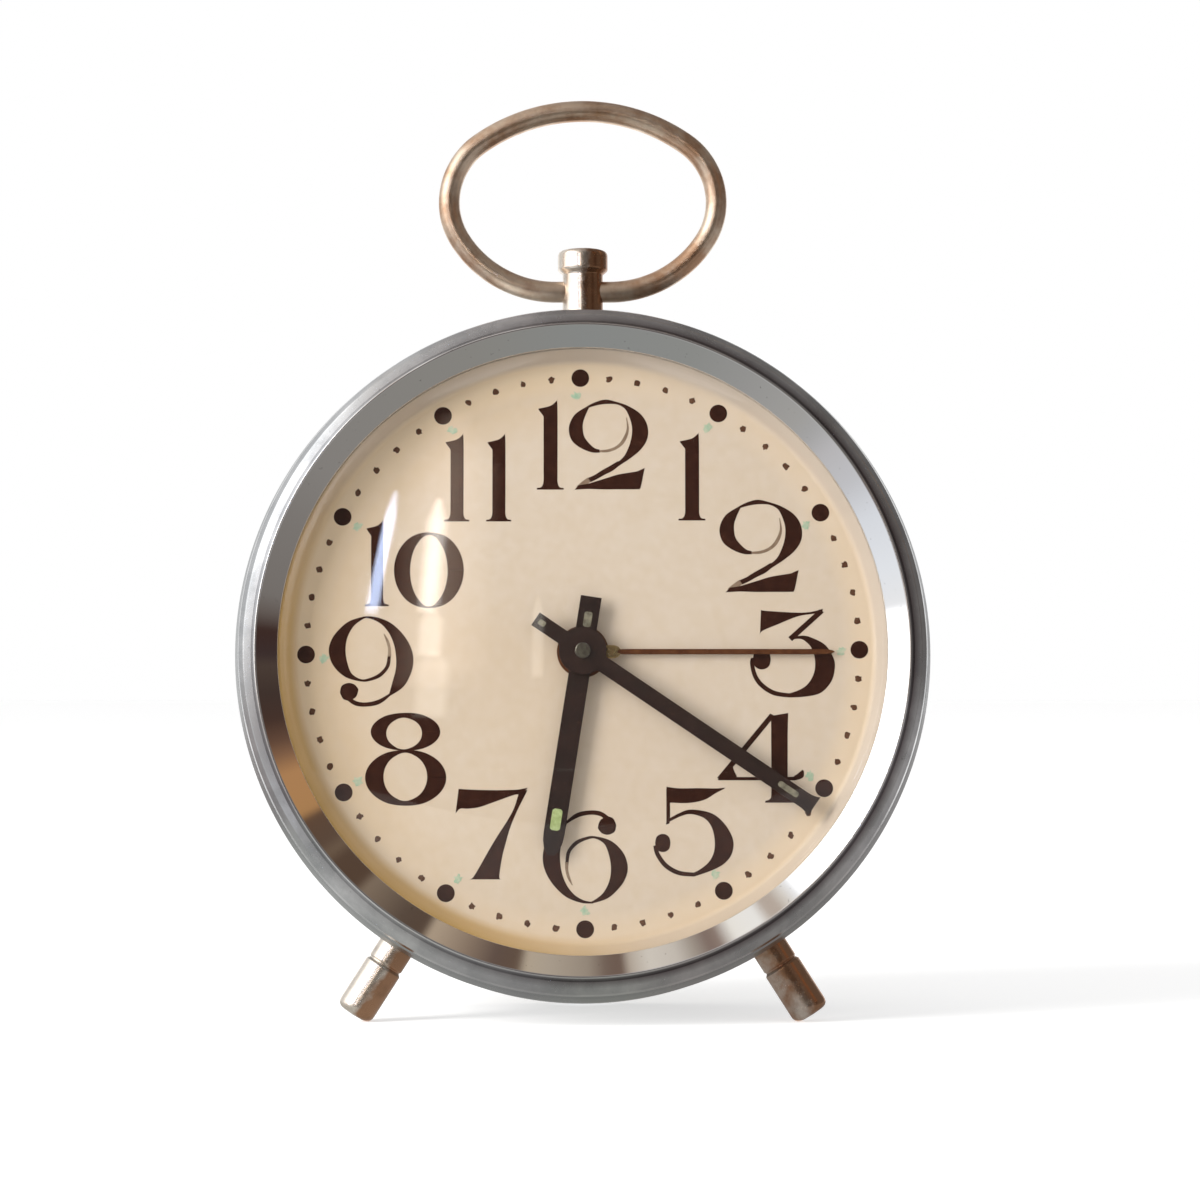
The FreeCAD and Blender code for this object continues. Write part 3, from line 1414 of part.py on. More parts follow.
def make_key(place, tilt):
    """A winding key: a hub screwed on its arbor and two wings of sheet brass with round corners."""
    x, z = place
    bore = winding_arbor_radius + snug_gap
    hub = key_hub_radius
    hub_back = outside_y + key_hub_length
    seat = hub_back - key_seat_depth + shaft_end_gap
    body = turned([
        (bore, outside_y), (hub, outside_y), (hub, hub_back - key_hub_bevel), (hub - key_hub_bevel, hub_back),
        (0.0, hub_back), (0.0, seat), (bore, seat)], place)
    low = outside_y + key_wing_gap
    high = low + key_height
    span = key_half_span
    soft = key_wing_rounding
    bend = arc_inset * soft
    root = 0.9 * hub
    dip = 0.5 * key_wing_dip_width
    half = 0.5 * key_wing_sheet
    steps = [
        (-root, low + key_wing_taper), (-span + soft, low), ((-span + bend, low + bend), (-span, low + soft)),
        (-span, high - soft), ((-span + bend, high - bend), (-span + soft, high)), (-dip, high),
        ((0.0, high - key_wing_dip), (dip, high)), (span - soft, high),
        ((span - bend, high - bend), (span, high - soft)), (span, low + soft),
        ((span - bend, low + bend), (span - soft, low)), (root, low + key_wing_taper),
        (root, hub_back - 0.25 * key_hub_bevel), (-root, hub_back - 0.25 * key_hub_bevel),
    ]
    wings = outline(steps, lambda a, y: vector(x + a, y, z - half)).extrude(vector(0, 0, key_wing_sheet))
    key = body.fuse(wings).removeSplitter().cut(rod(bore, outside_y - past, seat, place))
    return turn_about(key, place, tilt)


def make_stop_knob():
    """The alarm's stop: a rod through the back with a button outside and a stop ring inside."""
    tip = rear_plate_back + stop_travel + stop_button_bevel
    button = panel_back + stop_travel + 0.4
    button_back = button + stop_button_length
    ring = panel_y - 2 * stop_ring_length
    return stepped([
        (tip, stop_rod_radius), (ring, stop_ring_radius), (ring + stop_ring_length, stop_rod_radius),
        (button, stop_button_radius),
        (button_back - stop_button_bevel, stop_button_radius - stop_button_bevel),
        (button_back, 0.0)], stop_place)


def build():
    """Makes every piece in the clock's own upright axes."""
    pieces["case_body"] = make_case()
    pieces["bezel"] = make_bezel()
    pieces["crystal"] = make_crystal()
    pieces["dial"] = make_dial()
    pieces["handle_stud"] = make_stud()
    pieces["handle_stud_nut"] = make_radial_nut(vector(0, 0, 1), stud_y)
    pieces["handle_ring"] = make_handle()
    pieces["foot_left"] = make_foot(-1)
    pieces["foot_right"] = make_foot(1)
    pieces["foot_nuts"] = group(*[make_radial_nut(foot_axis(side), foot_y) for side in (-1, 1)])
    pieces["minute_hand"] = make_minute_hand()
    pieces["hour_hand"] = make_hour_hand()
    pieces["alarm_hand"] = make_alarm_hand()
    pieces["front_plate"] = make_front_plate()
    pieces["rear_plate"] = make_rear_plate()
    pieces["plate_pillars"] = make_pillars()
    pieces["pillar_nuts"] = make_pillar_nuts()
    pieces["case_brackets"] = make_brackets()
    pieces["movement_screws"] = make_movement_screws()
    pieces["alarm_release_spring"] = make_release_spring()
    make_going_train()
    pieces["great_wheel"] = make_great_wheel(great_place, great_teeth, great_module, going_click_direction)
    pieces["going_click"] = make_click(great_place, going_click_direction)
    pieces["going_winding_arbor"] = make_winding_arbor(great_place, going_spring_y, going_spring_height)
    pieces["going_mainspring"] = make_mainspring(
        great_place, going_spring_radius, going_spring_y, going_spring_height, pillar_places[2])
    pieces["going_key"] = make_key(great_place, going_key_tilt)
    pieces["pallet_lever"] = make_lever()
    pieces["balance_wheel"] = make_balance()
    pieces["balance_screws"] = make_balance_screws()
    pieces["hairspring"] = make_hairspring()
    pieces["hairspring_stud"] = rod(
        hairspring_stud_radius, hairspring_y - balance_arm_step, rear_plate_y, hairspring_stud_place())
    pieces["regulator_lever"] = make_regulator()
    pieces["centre_arbor"] = make_centre_arbor()
    pieces["hand_friction_spring"] = make_friction_spring()
    make_motion_work()
    pieces["hand_set_knob"] = make_knob(centre_place)
    pieces["alarm_set_knob"] = make_knob(alarm_set_place)
    make_alarm_train()
    pieces["alarm_click"] = make_click(alarm_great_place, alarm_click_direction)
    pieces["alarm_winding_arbor"] = make_winding_arbor(alarm_great_place, alarm_spring_y, alarm_spring_height)
    pieces["alarm_mainspring"] = make_mainspring(
        alarm_great_place, alarm_spring_radius, alarm_spring_y, alarm_spring_height, pillar_places[3])
    pieces["alarm_key"] = make_key(alarm_great_place, alarm_key_tilt)
    pieces["alarm_hammer"] = make_hammer()
    pieces["bell"] = make_bell()
    pieces["bell_post"] = make_bell_post()
    pieces["bell_screw"] = screw(bell_place, bell_back, bell_back - bell_screw_length, 1)
    pieces["back_cover"] = make_back_cover()
    pieces["cover_posts"] = make_cover_posts()
    pieces["cover_screws"] = make_cover_screws()
    pieces["alarm_stop_knob"] = make_stop_knob()


def foot_drop(lean):
    """How far below the hands' axis the lowest point of a leaning foot is."""
    spread = math.cos(math.radians(foot_angle)) * math.cos(lean)
    reach = case_radius + foot_length - foot_rounding
    return (foot_y * math.sin(lean) + reach * spread
            + (foot_radius - foot_rounding) * math.sqrt(1.0 - spread ** 2) + foot_rounding)


def resting_lean():
    """The angle at which the feet and the drum's back edge stand on one plane, found by halving."""
    low, high = 0.0, math.radians(30.0)
    for _ in range(60):
        lean = 0.5 * (low + high)
        rim_drop = case_depth * math.sin(lean) + case_radius * math.cos(lean)
        if foot_drop(lean) > rim_drop:
            low = lean
        else:
            high = lean
    return lean


def stand_up():
    """Leans the clock back onto its feet, puts the table at Z = 0 and centres it over the origin."""
    lean = resting_lean()
    for shape in pieces.values():
        shape.rotate(origin, vector(1, 0, 0), -math.degrees(lean))
    boxes = [shape.optimalBoundingBox() for shape in pieces.values()]
    middle_x = 0.5 * (min(box.XMin for box in boxes) + max(box.XMax for box in boxes))
    middle_y = 0.5 * (min(box.YMin for box in boxes) + max(box.YMax for box in boxes))
    shift = vector(-middle_x, -middle_y, foot_drop(lean))
    for shape in pieces.values():
        shape.translate(shift)
    return lean, shift


build()
lean, shift = stand_up()
for name, shape in pieces.items():
    shape.exportStep(f"parts/{name}.step")
place = f"{shift.x:.4f} {shift.y:.4f} {shift.z:.4f}"
print(f"{len(pieces)} pieces, lean {math.degrees(lean):.4f} degrees, shift {place}")
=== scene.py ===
import json
import math
import bmesh
import bpy
import numpy as np
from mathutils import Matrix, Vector


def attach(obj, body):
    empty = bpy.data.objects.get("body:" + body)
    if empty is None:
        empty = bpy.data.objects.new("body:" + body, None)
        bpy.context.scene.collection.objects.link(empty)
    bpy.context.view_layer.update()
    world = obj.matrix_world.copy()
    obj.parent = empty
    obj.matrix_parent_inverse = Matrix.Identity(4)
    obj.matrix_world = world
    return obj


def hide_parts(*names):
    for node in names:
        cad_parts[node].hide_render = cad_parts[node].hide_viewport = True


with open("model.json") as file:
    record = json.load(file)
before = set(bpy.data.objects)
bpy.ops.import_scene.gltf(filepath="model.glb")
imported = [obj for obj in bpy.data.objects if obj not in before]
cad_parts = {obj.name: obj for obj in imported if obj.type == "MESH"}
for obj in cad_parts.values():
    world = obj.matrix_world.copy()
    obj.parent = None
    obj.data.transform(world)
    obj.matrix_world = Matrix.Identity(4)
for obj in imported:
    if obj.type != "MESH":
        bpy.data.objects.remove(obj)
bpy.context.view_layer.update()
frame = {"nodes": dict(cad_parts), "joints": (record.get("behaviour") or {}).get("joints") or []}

# Camera: level with the middle of the dial and 600 mm in front of it, where 171.9 mm of the dial's plane fill
# the frame. The clock stands left of the middle and low in the picture, so the lens is shifted and not
# turned.
setting = next(joint for joint in frame["joints"] if joint["name"] == "hand_setting")
backwards = np.array(setting["axis"])
upwards = np.array([0.0, -backwards[2], backwards[1]])
sideways = np.array([1.0, 0.0, 0.0])
dial_before_joint = 0.010
dial_centre = np.array(setting["pos_m"]) - dial_before_joint * backwards


def placed(name, data):
    """An object in the scene that holds a camera, a light or a mesh."""
    thing = bpy.data.objects.new(name, data)
    bpy.context.scene.collection.objects.link(thing)
    return thing


viewing_distance = 0.600
frame_width = 0.1719
eye = bpy.data.cameras.new("eye")
eye.sensor_width = 36.0
eye.lens = 36.0 * viewing_distance / frame_width
eye.shift_x = 0.0144
eye.shift_y = 0.0437
eye.clip_start = 0.01
eye_stand = placed("eye", eye)
eye_stand.location = (dial_centre[0], dial_centre[1] - viewing_distance, dial_centre[2])
eye_stand.rotation_euler = (math.radians(90), 0, 0)
bpy.context.scene.camera = eye_stand
bpy.context.scene.view_settings.view_transform = "Standard"


# Floor and daylight: a pale table top that runs out of sight, one tall window to the left and a little above,
# and an even white sky. The table and the sky are white to the eye and in metal, and only light the clock
# plainly.
def colour(red, green, blue):
    """A colour given as it looks, 0 to 255, worked out as the amounts of light that the shaders take."""
    looks = np.array([red, green, blue]) / 255.0
    light = np.where(looks <= 0.04045, looks / 12.92, ((looks + 0.055) / 1.055) ** 2.4)
    return (*light, 1.0)


def add(material, kind, inputs=None, **settings):
    """Adds one node to a material or world; an input is a plain value or another node's socket."""
    node = material.node_tree.nodes.new(kind)
    for key, value in settings.items():
        setattr(node, key, value)
    for key, value in (inputs or {}).items():
        if isinstance(value, bpy.types.NodeSocket):
            material.node_tree.links.new(value, node.inputs[key])
        else:
            node.inputs[key].default_value = value
    return node


def finish_of(name):
    """A new material with nothing in it but its output."""
    material = bpy.data.materials.new(name)
    material.use_nodes = True
    material.node_tree.nodes.clear()
    add(material, "ShaderNodeOutputMaterial")
    return material


def show(material, shader):
    """Joins a shader to the material's output."""
    output = next(n for n in material.node_tree.nodes if n.type in ("OUTPUT_MATERIAL", "OUTPUT_WORLD"))
    material.node_tree.links.new(shader, output.inputs["Surface"])


def reckoned(material, operation, *values):
    """A sum, product or the like of plain values and sockets."""
    return add(material, "ShaderNodeMath", dict(enumerate(values)), operation=operation).outputs[0]


def seen_directly(material):
    """1 for rays from the eye, from metal and through glass, and 0 for the light that falls on things."""
    path = add(material, "ShaderNodeLightPath").outputs
    either = reckoned(material, "MAXIMUM", path["Is Camera Ray"], path["Is Glossy Ray"])
    return reckoned(material, "MAXIMUM", either, path["Is Transmission Ray"])


def quads(rows, columns, close_rows=False, close_columns=False):
    """Corner numbers of a grid's quads, row by row; a closed way joins its last line of points to its
    first."""
    i = np.arange(rows if close_rows else rows - 1)[:, None]
    j = np.arange(columns if close_columns else columns - 1)[None, :]
    across, down = (j + 1) % columns, (i + 1) % rows * columns
    corners = [i * columns + j, i * columns + across, down + across, down + j + 0 * i]
    return np.stack(corners, -1).reshape(-1, 4)


def mesh_of(name, points, faces):
    """A mesh from an array of points in metres and an array of faces' corner numbers."""
    mesh = bpy.data.meshes.new(name)
    mesh.vertices.add(len(points))
    mesh.vertices.foreach_set("co", np.ascontiguousarray(points, dtype=np.float32).ravel())
    mesh.loops.add(faces.size)
    mesh.loops.foreach_set("vertex_index", faces.ravel().astype(np.int32))
    mesh.polygons.add(len(faces))
    mesh.polygons.foreach_set("loop_start", np.arange(0, faces.size, faces.shape[1], dtype=np.int32))
    mesh.update(calc_edges=True)
    return mesh


sky = bpy.data.worlds.new("sky")
sky.use_nodes = True
sky.node_tree.nodes.clear()
add(sky, "ShaderNodeOutputWorld")
sky_seen, sky_falling = 1.0, 0.52
sky_light = reckoned(sky, "MULTIPLY_ADD", seen_directly(sky), sky_seen - sky_falling, sky_falling)
show(sky, add(sky, "ShaderNodeBackground", {"Color": (1, 1, 1, 1), "Strength": sky_light}).outputs[0])
sky.cycles.sampling_method = "NONE"
bpy.context.scene.world = sky

table_white = finish_of("table_white")
table_lift = 0.56
table_glow = reckoned(table_white, "MULTIPLY", seen_directly(table_white), table_lift)
table_matt = add(table_white, "ShaderNodeBsdfDiffuse", {"Color": (0.80, 0.80, 0.80, 1), "Roughness": 0.5})
table_shine = add(table_white, "ShaderNodeEmission", {"Strength": table_glow})
show(table_white, add(table_white, "ShaderNodeAddShader", {0: table_matt.outputs[0],
                                                           1: table_shine.outputs[0]}).outputs[0])
table_white.cycles.emission_sampling = "NONE"
table_reach = 4.0
one_quad = np.array([[0, 1, 2, 3]])
table_corners = table_reach * np.array([(-1, -1, 0), (1, -1, 0), (1, 1, 0), (-1, 1, 0)])
table_mesh = mesh_of("table_top", table_corners, one_quad)
table_mesh.materials.append(table_white)
table = placed("table_top", table_mesh)


def towards(off_axis, clockwise):
    """Unit direction from the dial: degrees off the line to the eye, and degrees clockwise from straight
    up."""
    off, turn = np.radians(off_axis), np.radians(clockwise)
    return np.stack([np.sin(off) * np.sin(turn), -np.cos(off) + 0 * turn, np.sin(off) * np.cos(turn)], -1)


window = bpy.data.lights.new("window", "AREA")
window.shape = "RECTANGLE"
window_light, window_width, window_height = 9.1, 0.40, 0.90
window.size, window.size_y = window_width, window_height
window.energy = window_light * window_width * window_height * math.pi
window.color = (1.0, 0.985, 0.96)
window_way = Vector(towards(57, 290))
window_frame = placed("window", window)
window_frame.location = Vector(dial_centre) + window_way
window_frame.rotation_euler = window_way.to_track_quat("Z", "Y").to_euler()
window_frame.visible_glossy = False


# Room: what polished metal and glass reflect, and nothing else sees. A belt of walls, shelves and curtains
# stands round the line of sight, with the window's panes on its left, a dark wall behind the eye, and a grey
# table in front.
def reflected(name, points, faces, shades, strength=1.0, clear=False):
    """A glowing surface that only metal and glass see, with a colour at each point. A clear one adds its
    light to what stands behind it."""
    mesh = mesh_of(name, points, faces)
    tint = mesh.attributes.new("shade", "FLOAT_COLOR", "POINT")
    tint.data.foreach_set("color", np.column_stack([shades, np.ones(len(shades))]).astype(np.float32).ravel())
    glow = finish_of(name)
    shade = add(glow, "ShaderNodeAttribute", attribute_name="shade").outputs["Color"]
    light = add(glow, "ShaderNodeEmission", {"Color": shade, "Strength": strength}).outputs[0]
    if clear:
        through = add(glow, "ShaderNodeBsdfTransparent").outputs[0]
        light = add(glow, "ShaderNodeAddShader", {0: light, 1: through}).outputs[0]
    show(glow, light)
    glow.cycles.emission_sampling = "NONE"
    mesh.materials.append(glow)
    thing = placed(name, mesh)
    thing.visible_camera = thing.visible_diffuse = thing.visible_shadow = False


# the middle of the bezel's inner slope, out from the dial's axis and in front of the dial
slope_radius, slope_front = 0.0452, 0.0058


def mirrored(clockwise, slope):
    """What a point of the bezel shows: the point at a clockwise angle, and the way of the eye's line d off a
    surface that slopes inward by so many degrees, d - 2 (d.n) n for its normal n."""
    turn, tilt = np.radians(clockwise)[..., None], np.radians(slope)[..., None]
    outwards = np.sin(turn) * sideways + np.cos(turn) * upwards
    at = dial_centre + slope_radius * outwards - slope_front * backwards + 0 * tilt
    normal = -np.sin(tilt) * outwards - np.cos(tilt) * backwards
    line = at - np.array(eye_stand.location)
    line /= np.linalg.norm(line, axis=-1, keepdims=True)
    return at, line - 2 * (line * normal).sum(-1, keepdims=True) * normal


# each stop is a clockwise angle on the bezel, and the colour that the room has there
room_stops = np.array([
    (0, 148, 150, 147), (20, 152, 153, 149), (32, 164, 163, 160), (43, 176, 174, 170), (46.5, 182, 181, 180),
    (51, 202, 200, 201), (58, 212, 212, 215), (65, 236, 239, 244), (75, 248, 251, 255), (83, 255, 255, 255),
    (139, 255, 255, 255), (141, 232, 224, 213), (143, 198, 182, 168), (145, 198, 182, 168),
    (147, 255, 252, 246), (152, 255, 250, 240), (155, 150, 130, 118), (157, 138, 118, 108),
    (160, 176, 165, 152), (163, 214, 204, 192), (168, 226, 217, 204), (171.5, 196, 182, 166),
    (173, 116, 94, 82), (176, 126, 108, 96), (179, 164, 150, 134), (186, 186, 172, 154),
    (190, 194, 178, 156), (191.6, 106, 86, 72), (196, 106, 88, 78), (201, 148, 128, 110),
    (208, 190, 170, 146), (209.4, 92, 74, 62), (214, 98, 82, 70), (222, 138, 120, 102), (223.6, 92, 72, 58),
    (229, 94, 74, 60), (231, 118, 98, 80), (233, 100, 80, 66), (238, 102, 78, 62), (239.4, 186, 140, 92),
    (247, 188, 140, 94), (250.5, 140, 104, 78), (253, 108, 80, 64), (257, 76, 56, 48), (262, 70, 56, 50),
    (267, 82, 68, 60), (269, 66, 52, 50), (273.5, 66, 46, 40), (276.5, 108, 98, 92), (280, 128, 122, 117),
    (295, 136, 131, 126), (305, 144, 140, 135), (340, 148, 146, 140), (360, 148, 150, 147)], dtype=float)
# the same further out, where only rounded metal looks
wide_stops = np.array([
    (0, 160, 159, 150), (8, 158, 155, 152), (20, 178, 176, 172), (30, 190, 190, 183), (42, 207, 206, 202),
    (54, 183, 184, 178), (60, 163, 153, 153), (66, 180, 169, 166), (78, 184, 175, 173), (84, 253, 241, 234),
    (90, 255, 250, 246), (98, 255, 252, 250), (104, 255, 255, 255), (128, 255, 255, 255),
    (134, 255, 253, 248), (139, 255, 250, 244), (144, 226, 215, 207), (150, 250, 244, 238),
    (156, 192, 182, 178), (168, 204, 194, 190), (174, 158, 144, 139), (180, 150, 138, 132),
    (192, 140, 131, 128), (210, 129, 124, 120), (276, 126, 118, 114), (282, 182, 176, 174),
    (294, 180, 174, 172), (310, 175, 168, 165), (320, 154, 148, 143), (346, 157, 149, 143),
    (354, 160, 159, 150), (360, 160, 159, 150)], dtype=float)
turns = np.linspace(0, 360, 721)
slopes = np.linspace(17.5, 70, 71)


def light_round(stops):
    """The light at each of the turns, worked out between the stops."""
    light = np.array([colour(*stop[1:])[:3] for stop in stops])
    return np.stack([np.interp(turns, stops[:, 0], light[:, k]) for k in range(3)], -1)


# where the window stands, both are brighter than white can look
near_light, wide_light = light_round(room_stops), light_round(wide_stops)
near_light *= np.interp(turns, [82, 85, 136, 139], [1, 2.6, 2.6, 1])[:, None]
wide_light *= np.interp(turns, [84, 90, 98, 104, 128, 134, 139], [1, 1.3, 1.7, 2.3, 2.3, 1.3, 1])[:, None]
wide_grey_share = 0.4
wide_light += wide_grey_share * (wide_light.mean(1, keepdims=True) - wide_light)
# the inner slope sees the near stops, and everything steeper or flatter the wide ones, dimmer the further out
near = np.interp(slopes, [28.5, 30.5, 34, 36], [0, 1, 1, 0])[None, :, None]
far_out = np.interp(slopes, [36, 46, 54, 70], [2.4, 1.5, 0.8, 0.6])[None, :, None]
walls = near * near_light[:, None] + (1 - near) * np.minimum(wide_light[:, None], far_out)
start, way = mirrored(turns[:, None], slopes[None, :])
belt_floor, belt_reach = 0.0003, 1.6
reach = ((start[..., 2] - belt_floor) / np.maximum(-way[..., 2], 1e-4)).clip(0, belt_reach)
belt = (start + reach[..., None] * way).reshape(-1, 3)
reflected("room_belt", belt, quads(len(turns), len(slopes)), walls.reshape(-1, 3))
wall_distance, wall_edge, wall_steps = 1.75, 40, 9
wall_turns = np.linspace(0, 360, wall_steps)
wall_ways = towards(*np.meshgrid(np.linspace(0, wall_edge, wall_steps), wall_turns, indexing="ij"))
reflected("wall_behind", dial_centre + wall_distance * wall_ways.reshape(-1, 3),
          quads(wall_steps, wall_steps), np.tile(colour(92, 86, 82)[:3], (wall_steps ** 2, 1)))
mat_side, mat_near, mat_far, mat_height = 1.5, -1.7, -0.14, 0.0001
mat_corners = np.array([(-mat_side, mat_near, mat_height), (mat_side, mat_near, mat_height),
                        (mat_side, mat_far, mat_height), (-mat_side, mat_far, mat_height)])
reflected("table_sheen", mat_corners, one_quad, np.tile(colour(92, 88, 84)[:3], (4, 1)))


def pane(name, left, slant, low, high, width, shade, strength, soft=0.25, distance=1.2):
    """A strip of bright window, dying away at its sides: degrees to the left of the line of sight at its top,
    how much further left its foot is, and the degrees above that line between which it stands."""
    over = np.array([0.0, soft, 1 - soft, 1.0])[None, :]
    up = np.array([0.0, 0.08, 0.8, 1.0])[:, None]
    full = np.array([1.0, 1.0, 1.0, 0.35])[:, None]
    across = -np.radians(left + slant * (1 - up) + width * (0.5 + full * (0.5 - over)))
    rise = np.radians(low + (high - low) * up + 0 * over)
    level = np.cos(rise)
    ways = np.stack([np.sin(across) * level, -np.cos(across) * level, np.sin(rise)], -1).reshape(-1, 3)
    dying = np.outer([0.3, 1.0, 1.0, 0.5], [0.0, 1.0, 1.0, 0.0]).reshape(-1, 1)
    reflected(name, dial_centre + distance * ways, quads(4, 4), dying * shade[:3], strength, clear=True)


pane("pane_far", 19.3, 1.4, 13.0, 25.2, 1.5, colour(204, 220, 255), 13.0)
pane("pane_near", 13.9, 0.3, 13.3, 24.6, 2.8, colour(255, 250, 244), 6.8, 0.4)
pane("pane_near_foot", 13.7, 0.2, 9.0, 13.6, 3.0, colour(255, 250, 240), 2.8)
pane("pane_veil", 8.5, 0.2, 6.0, 33.0, 11.0, colour(255, 230, 208), 1.6, 0.45, 1.5)
pane("pane_faint", 12.9, 0.2, 3.0, 9.5, 4.0, colour(255, 250, 240), 1.6)
pane("pane_middle", 3.8, 0.0, 7.0, 15, 1.4, colour(255, 250, 240), 1.5)


# Drum: the case, one cup pressed and spun from steel sheet, with its mouth stepped in for the bezel and an
# inward flange for the dial. It is nickel plated, and the plate is dulled and finely scratched.
def in_clock(points):
    """Points in the clock's own millimetres (right, back, up; the dial's face at 0) in the frame's metres."""
    points = np.asarray(points, dtype=float) / 1000.0
    return dial_centre + points[..., :1] * sideways + points[..., 1:2] * backwards + points[..., 2:] * upwards


def rounded(corners, steps=7, support=0.05):
    """A closed outline from corners (radius, along, rounding): at each corner a curve that leaves one side
    and joins the next at equal distances, a quarter arc for a square corner, with one point more on each side
    to hold it flat."""
    corners = np.array([c if len(c) == 3 else (*c, 0.0) for c in corners], dtype=float)
    here, rounding = corners[:, :2], corners[:, 2]
    before, after = np.roll(here, 1, 0) - here, np.roll(here, -1, 0) - here
    reach = np.minimum(np.linalg.norm(before, axis=1), np.linalg.norm(after, axis=1))
    before /= np.linalg.norm(before, axis=1)[:, None]
    after /= np.linalg.norm(after, axis=1)[:, None]
    half = 0.5 * np.arccos(np.clip((before * after).sum(1), -1, 1))
    set_back = np.minimum(rounding / np.tan(half), 0.49 * reach)
    hold = np.where(rounding > 0, np.minimum(support, 0.495 * reach - set_back).clip(0), 0)
    start, end = here + before * set_back[:, None], here + after * set_back[:, None]
    s = np.linspace(0, 1, steps)[None, :, None]
    curve = (1 - s) ** 2 * start[:, None] + 2 * s * (1 - s) * here[:, None] + s ** 2 * end[:, None]
    first = (start + before * hold[:, None])[:, None]
    last = (end + after * hold[:, None])[:, None]
    return np.concatenate([first, curve, last], axis=1).reshape(-1, 2)


def turned(outline, foot=(0, 0, 0), axis=(0, 1, 0), sides=160, closed=True):
    """A surface of revolution: the outline's points (radius, along) go round an axis through foot, in
    millimetres."""
    outline = np.asarray(outline, dtype=float)
    along = np.array(axis, dtype=float) / np.linalg.norm(axis)
    across = np.cross(along, (0, 0, 1) if abs(along[2]) < 0.9 else (0, 1, 0))
    across /= np.linalg.norm(across)
    round_way = np.cross(along, across)
    turn = np.linspace(0, 2 * math.pi, sides, endpoint=False)[:, None]
    ring = np.cos(turn) * across + np.sin(turn) * round_way
    points = np.array(foot) + outline[None, :, :1] * ring[:, None] + outline[None, :, 1:2] * along
    return in_clock(points.reshape(-1, 3)), quads(sides, len(outline), True, closed)


def piece(name, shape, body, finish, crease=32, stands_for=()):
    """A finished piece: its points and faces made a mesh, doubles welded, faces turned outward, edges sharper
    than the crease angle kept crisp, its finish laid on, and the whole set on the body that carries it."""
    mesh = mesh_of(name, *shape)
    work = bmesh.new()
    work.from_mesh(mesh)
    bmesh.ops.remove_doubles(work, verts=work.verts, dist=2e-7)
    bmesh.ops.recalc_face_normals(work, faces=work.faces)
    work.to_mesh(mesh)
    work.free()
    mesh.polygons.foreach_set("use_smooth", np.ones(len(mesh.polygons), dtype=bool))
    mesh.set_sharp_from_angle(angle=math.radians(crease))
    mesh.materials.append(finish)
    thing = placed(name, mesh)
    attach(thing, body)
    if stands_for:
        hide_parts(*stands_for)
    return thing


def joined(shapes):
    """Several shapes, each of points and faces, as one."""
    starts = np.cumsum([0] + [len(points) for points, _ in shapes[:-1]])
    return (np.concatenate([points for points, _ in shapes]),
            np.concatenate([faces + start for (_, faces), start in zip(shapes, starts)]))


def patches(material, size, detail, seed, stretch=(1, 1, 1)):
    """Soft noise from 0 to 1 in patches of about the given size in millimetres, drawn out by the stretch."""
    place = add(material, "ShaderNodeTexCoord").outputs["Object"]
    laid = add(material, "ShaderNodeMapping", {"Vector": place, "Location": (seed, 0.7 * seed, 0.3 * seed),
                                               "Scale": tuple(1.0 / s for s in stretch)}).outputs[0]
    return add(material, "ShaderNodeTexNoise", {"Vector": laid, "Scale": 1000.0 / size, "Detail": detail,
                                                "Roughness": 0.6}).outputs["Fac"]


def between(material, amount, low, high, to_low=0.0, to_high=1.0):
    """Maps low to high onto two other values, held at both ends."""
    return add(material, "ShaderNodeMapRange", {"Value": amount, "From Min": low, "From Max": high,
                                                "To Min": to_low, "To Max": to_high}).outputs["Result"]


def mottled(material, noise, low, high, to_low=0.0, to_high=1.0):
    """Noise of the given size, detail and seed, mapped from low to high onto two other values."""
    return between(material, patches(material, *noise), low, high, to_low, to_high)


def mixed(material, amount, first, second):
    """One colour going over into another."""
    return add(material, "ShaderNodeMix", {0: amount, 6: first, 7: second}, data_type="RGBA").outputs[2]


def raised(material, height, depth):
    """A bump of the given depth in millimetres."""
    return add(material, "ShaderNodeBump", {"Height": height, "Distance": depth / 1000.0,
                                            "Strength": 1.0}).outputs["Normal"]


def coated(material, tone, roughness, bump=None, metallic=0.0, **more):
    """Covers a material with one shader of this tone and roughness, with any more of its inputs by name."""
    inputs = {"Base Color": tone, "Roughness": roughness, "Metallic": metallic, **more}
    if bump is not None:
        inputs["Normal"] = bump
    show(material, add(material, "ShaderNodeBsdfPrincipled", inputs).outputs[0])


def plated(name, bright, dull, smooth, rough, patch, scratch, specks, seed):
    """Plated metal: two greys in soft patches, rougher where it is duller, fine scratches, and pits if it is
    old."""
    metal = finish_of(name)
    cloud = mottled(metal, (patch, 5, seed), 0.35, 0.68)
    tone = mixed(metal, cloud, bright, dull)
    fine = patches(metal, 0.5, 3, seed + 3, (3, 1, 1))
    tone = mixed(metal, mottled(metal, (0.9, 2, seed + 7), 0.70, 0.76, 0.0, specks), tone, colour(70, 62, 55))
    uneven = 0.1 * smooth
    gloss = reckoned(metal, "ADD", between(metal, cloud, 0, 1, smooth, rough),
                     between(metal, fine, 0.3, 0.7, -uneven, uneven))
    coated(metal, tone, gloss, raised(metal, fine, scratch), metallic=1.0)
    return metal


